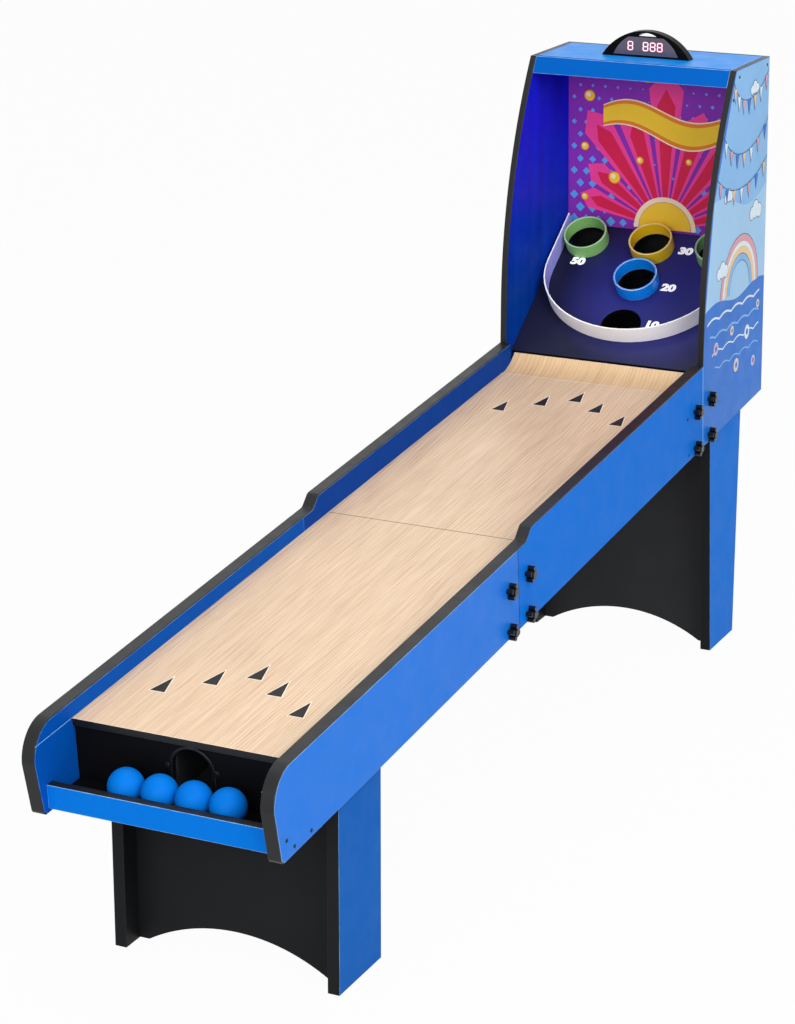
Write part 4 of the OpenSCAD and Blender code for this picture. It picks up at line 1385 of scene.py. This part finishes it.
class ALLEY_OT_scorer(Operator):
    """Finish the scorer's housing and lens and light its digits."""

    bl_idname = "alley.scorer"
    bl_label = "Scorer"

    bar_gap: length("Bar gap", "Bare end of a bar where it meets the next", 0.25)

    # Width of a bar against its own size, level of print and ink: first the glow, then the lit bar
    LAYERS = ((1.5, 1, 1), (0.95, 2, 0))

    def execute(self, context):
        dressed("scorer_housing", "black_plastic", ["plastic_black"], sizes().housing_round, segments=4)
        dressed("scorer_lens", "smoked_lens", ["lens"], sizes().small_round)
        self.digits()
        return {"FINISHED"}

    def digits(self):
        """One digit on the left and three on the right, with every bar lit."""
        s = sizes()
        low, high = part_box("scorer_lens")
        z = (low.z + high.z) / 2
        bm = new_shape()
        for x in (-s.digit_lone, *(i * s.digit_pitch - s.digit_group for i in range(3))):
            for grow, level, ink in self.LAYERS:
                self.digit(bm, Matrix.Translation((x, low.y, z)) @ UPRIGHT, grow, level, ink)
        thicken(bm)
        piece(bm, "scorer_digits", "smoked_lens", ["digit", "digit_glow"])

    def digit(self, bm, place, grow, level, ink):
        """Seven bars of one digit."""
        s = sizes()
        half_w = (s.digit_w - s.digit_bar) / 2
        half_h = (s.digit_h - s.digit_bar) / 2
        bars = [(0, half_h, half_w, False), (0, 0, half_w, False), (0, -half_h, half_w, False)]
        bars += [(side * half_w, end * half_h / 2, half_h / 2, True) for side in (-1, 1) for end in (-1, 1)]
        for x, y, reach, upright in bars:
            bar = s.digit_bar / 2 * grow
            reach -= self.bar_gap
            outline = [(-reach, 0), (bar - reach, bar), (reach - bar, bar), (reach, 0),
                       (reach - bar, -bar), (bar - reach, -bar)]
            points = [(x + (q if upright else p), y + (p if upright else q)) for p, q in outline]
            lay_flat(bm, place, points, level, ink)


class ALLEY_OT_legs(Operator):
    """Finish the leg posts and the black panels between them."""

    bl_idname = "alley.legs"
    bl_label = "Legs"

    def execute(self, context):
        def rule(face):
            outward = face.normal.x * (1 if face.calc_center_median().x > 0 else -1)
            return 0 if outward > FACING else 1
        for end, black in (("front", "board_black"), ("rear", "rear_black")):
            finishes = [f"{end}_post", "board_black"]
            dressed(f"{end}_leg_posts", "blue_board", finishes, sizes().post_round, rule)
            dressed(f"{end}_leg_panel", "black_board", [black], sizes().board_round)
        return {"FINISHED"}


class ALLEY_OT_knobs(Operator):
    """Finish the sixteen hand knobs and their plated studs."""

    bl_idname = "alley.knobs"
    bl_label = "Hand knobs"

    def execute(self, context):
        def rule(face):
            return 1 if abs(face.calc_center_median().x) < HALF_W else 0
        for joint in ("middle", "cabinet"):
            for side in SIDES:
                for number in range(1, 5):
                    dressed(f"knob_{joint}_{side}_{number}", "black_plastic", ["knob_black", "zinc"],
                            sizes().knob_round, rule, segments=3)
        return {"FINISHED"}


class ALLEY_OT_screws(Operator):
    """Set the screw heads on the panels, the cabinet, its rear cover and the rim of the return."""

    bl_idname = "alley.screws"
    bl_label = "Screws"

    cover_in: length("Cover inset", "From the rear cover's edges to its screws", 11.0)
    cover_rows: IntProperty(
        name="Cover rows", description="Rows of screws in the rear cover", default=5, min=2)
    bezel_d: length("Bezel screw", "Diameter of the screw heads in the rim of the return", 5.2)
    bezel_in: length("Bezel inset", "From the rim's sides to its screws", 5.0)
    bezel_drop: length("Bezel drop", "From the lane's face down to the rim's screws", 51.4)
    head_h: length("Head height", "Height of a screw head", 0.9)
    drive_h: length("Drive depth", "Depth of the sunk drive", 0.5)
    drive_in: length("Drive taper", "Slope of the drive's wall", 0.1)

    # Top of a head and rim round its drive, against its radius
    TOP_SHARE = 0.78
    RIM_SHARE = 0.4

    # Places along the table and up, in metres, on the outer faces of the panels and of the cabinet
    SIDE_PLACES = (
        (-0.9485, 0.3283), (-1.0021, 0.3247), (-1.0268, 0.3435), (0.6294, 0.5470), (0.6436, 0.4716),
        (0.8600, 1.1720), (0.8290, 1.1320), (1.0230, 1.1720))

    def execute(self, context):
        bm = new_shape()
        radius = sizes().screw_d / 2
        for side in SIDES.values():
            for y, z in self.SIDE_PLACES:
                self.screw(bm, Matrix.Translation((side * HALF_W, y, z)) @ sideways(side), radius)
        self.bezel(bm)
        self.cover(bm, radius)
        piece(bm, "screw_heads", "zinc_plate", ["screw"])
        return {"FINISHED"}

    def bezel(self, bm):
        """A screw at each side of the rim of the return, on its front face."""
        low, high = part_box("return_mouth_bezel")
        front = min((LANE.inverted() @ v.co).y for v in NODES["return_mouth_bezel"].data.vertices)
        for x in (low.x + self.bezel_in, high.x - self.bezel_in):
            place = LANE @ Matrix.Translation((x, front, -self.bezel_drop))
            self.screw(bm, place @ UPRIGHT, self.bezel_d / 2)

    def cover(self, bm, radius):
        """Two columns of screws on the rear cover's back."""
        low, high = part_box("rear_cover")
        tall = (high.z - low.z) / COVER[2][1]
        gap = (tall - 2 * self.cover_in) / (self.cover_rows - 1)
        backward = Matrix.Rotation(math.pi, 4, "Y")
        for x in (low.x + self.cover_in, high.x - self.cover_in):
            for row in range(self.cover_rows):
                place = COVER @ Matrix.Translation((x, self.cover_in + row * gap, 0))
                self.screw(bm, place @ backward, radius)

    def screw(self, bm, place, radius):
        """A low round head with a sunk drive."""
        seated = Matrix.Translation((0, 0, self.head_h / 2))
        made = bmesh.ops.create_cone(bm, cap_ends=True, segments=20, radius1=radius,
                                     radius2=radius * self.TOP_SHARE, depth=self.head_h, matrix=seated)
        top = max({f for v in made["verts"] for f in v.link_faces}, key=lambda f: f.calc_center_median().z)
        bmesh.ops.inset_region(bm, faces=[top], thickness=radius * self.RIM_SHARE, depth=0.0)
        sunk = bmesh.ops.inset_region(bm, faces=[top], thickness=self.drive_in, depth=-self.drive_h)
        verts = {v for v in made["verts"] if v.is_valid}
        verts |= {v for f in sunk["faces"] for v in f.verts} | set(top.verts)
        linked = {v for f in {f for v in verts for f in v.link_faces} for v in f.verts}
        bmesh.ops.transform(bm, matrix=place, verts=list(verts | linked))


class ALLEY_OT_hidden_works(Operator):
    """Finish the pieces inside and under the table."""

    bl_idname = "alley.hidden_works"
    bl_label = "Hidden works"

    # Slot and finish of each node
    LOOKS = {
        # Painted shade: the chute is nearly black so that the mouth looks dark inside
        "return_chute": ("grey_plastic", "grey_plastic"),
        "chute_bars": ("raw_batten", "batten"),
        "lane_cleats": ("raw_batten", "batten"),
        "joint_plates": ("zinc_plate", "zinc"),
        "ball_catch_tray": ("black_plastic", "board_black"),
        # Painted shade: the sensors are black so that the holes look dark inside
        "hole_sensors": ("black_plastic", "plastic_black"),
        "scorer_circuit_board": ("circuit_board", "circuit"),
    }

    def execute(self, context):
        for node, (slot, look) in self.LOOKS.items():
            dressed(node, slot, [look], sizes().small_round)
        return {"FINISHED"}


STEPS = (
    ALLEY_OT_stage, ALLEY_OT_side_panels, ALLEY_OT_guard_rails, ALLEY_OT_edge_trims, ALLEY_OT_lane,
    ALLEY_OT_lane_arrows, ALLEY_OT_ball_tray, ALLEY_OT_balls, ALLEY_OT_cabinet_shell, ALLEY_OT_side_prints,
    ALLEY_OT_back_print, ALLEY_OT_targets, ALLEY_OT_score_numbers, ALLEY_OT_scorer, ALLEY_OT_legs,
    ALLEY_OT_knobs, ALLEY_OT_screws, ALLEY_OT_hidden_works,
)


class ALLEY_PT_panel(Panel):
    """Lists the steps that finish the table, and their settings."""

    bl_idname = "ALLEY_PT_panel"
    bl_label = "Ball alley table"
    bl_space_type = "VIEW_3D"
    bl_region_type = "UI"
    bl_category = "Ball alley"

    def draw(self, context):
        for step in STEPS:
            self.layout.operator(step.bl_idname)
        for settings in (context.scene.alley_sizes, context.scene.alley_colours, context.scene.alley_stage):
            box = self.layout.box()
            for name in settings.__annotations__:
                box.prop(settings, name)


SETTINGS = {"alley_colours": AlleyColours, "alley_sizes": AlleySizes, "alley_stage": AlleyStage}
CLASSES = tuple(SETTINGS.values()) + STEPS + (ALLEY_PT_panel,)


def register():
    """Register the classes and hang the settings on the scene."""
    for each in CLASSES:
        bpy.utils.register_class(each)
    for name, kind in SETTINGS.items():
        setattr(bpy.types.Scene, name, PointerProperty(type=kind))


def unregister():
    """Take the settings and the classes away again."""
    for name in SETTINGS:
        delattr(bpy.types.Scene, name)
    for each in reversed(CLASSES):
        bpy.utils.unregister_class(each)


def main():
    """Run every step in order."""
    register()
    for step in STEPS:
        area, name = step.bl_idname.split(".")
        getattr(getattr(bpy.ops, area), name)()


if __name__ == "__main__":
    main()
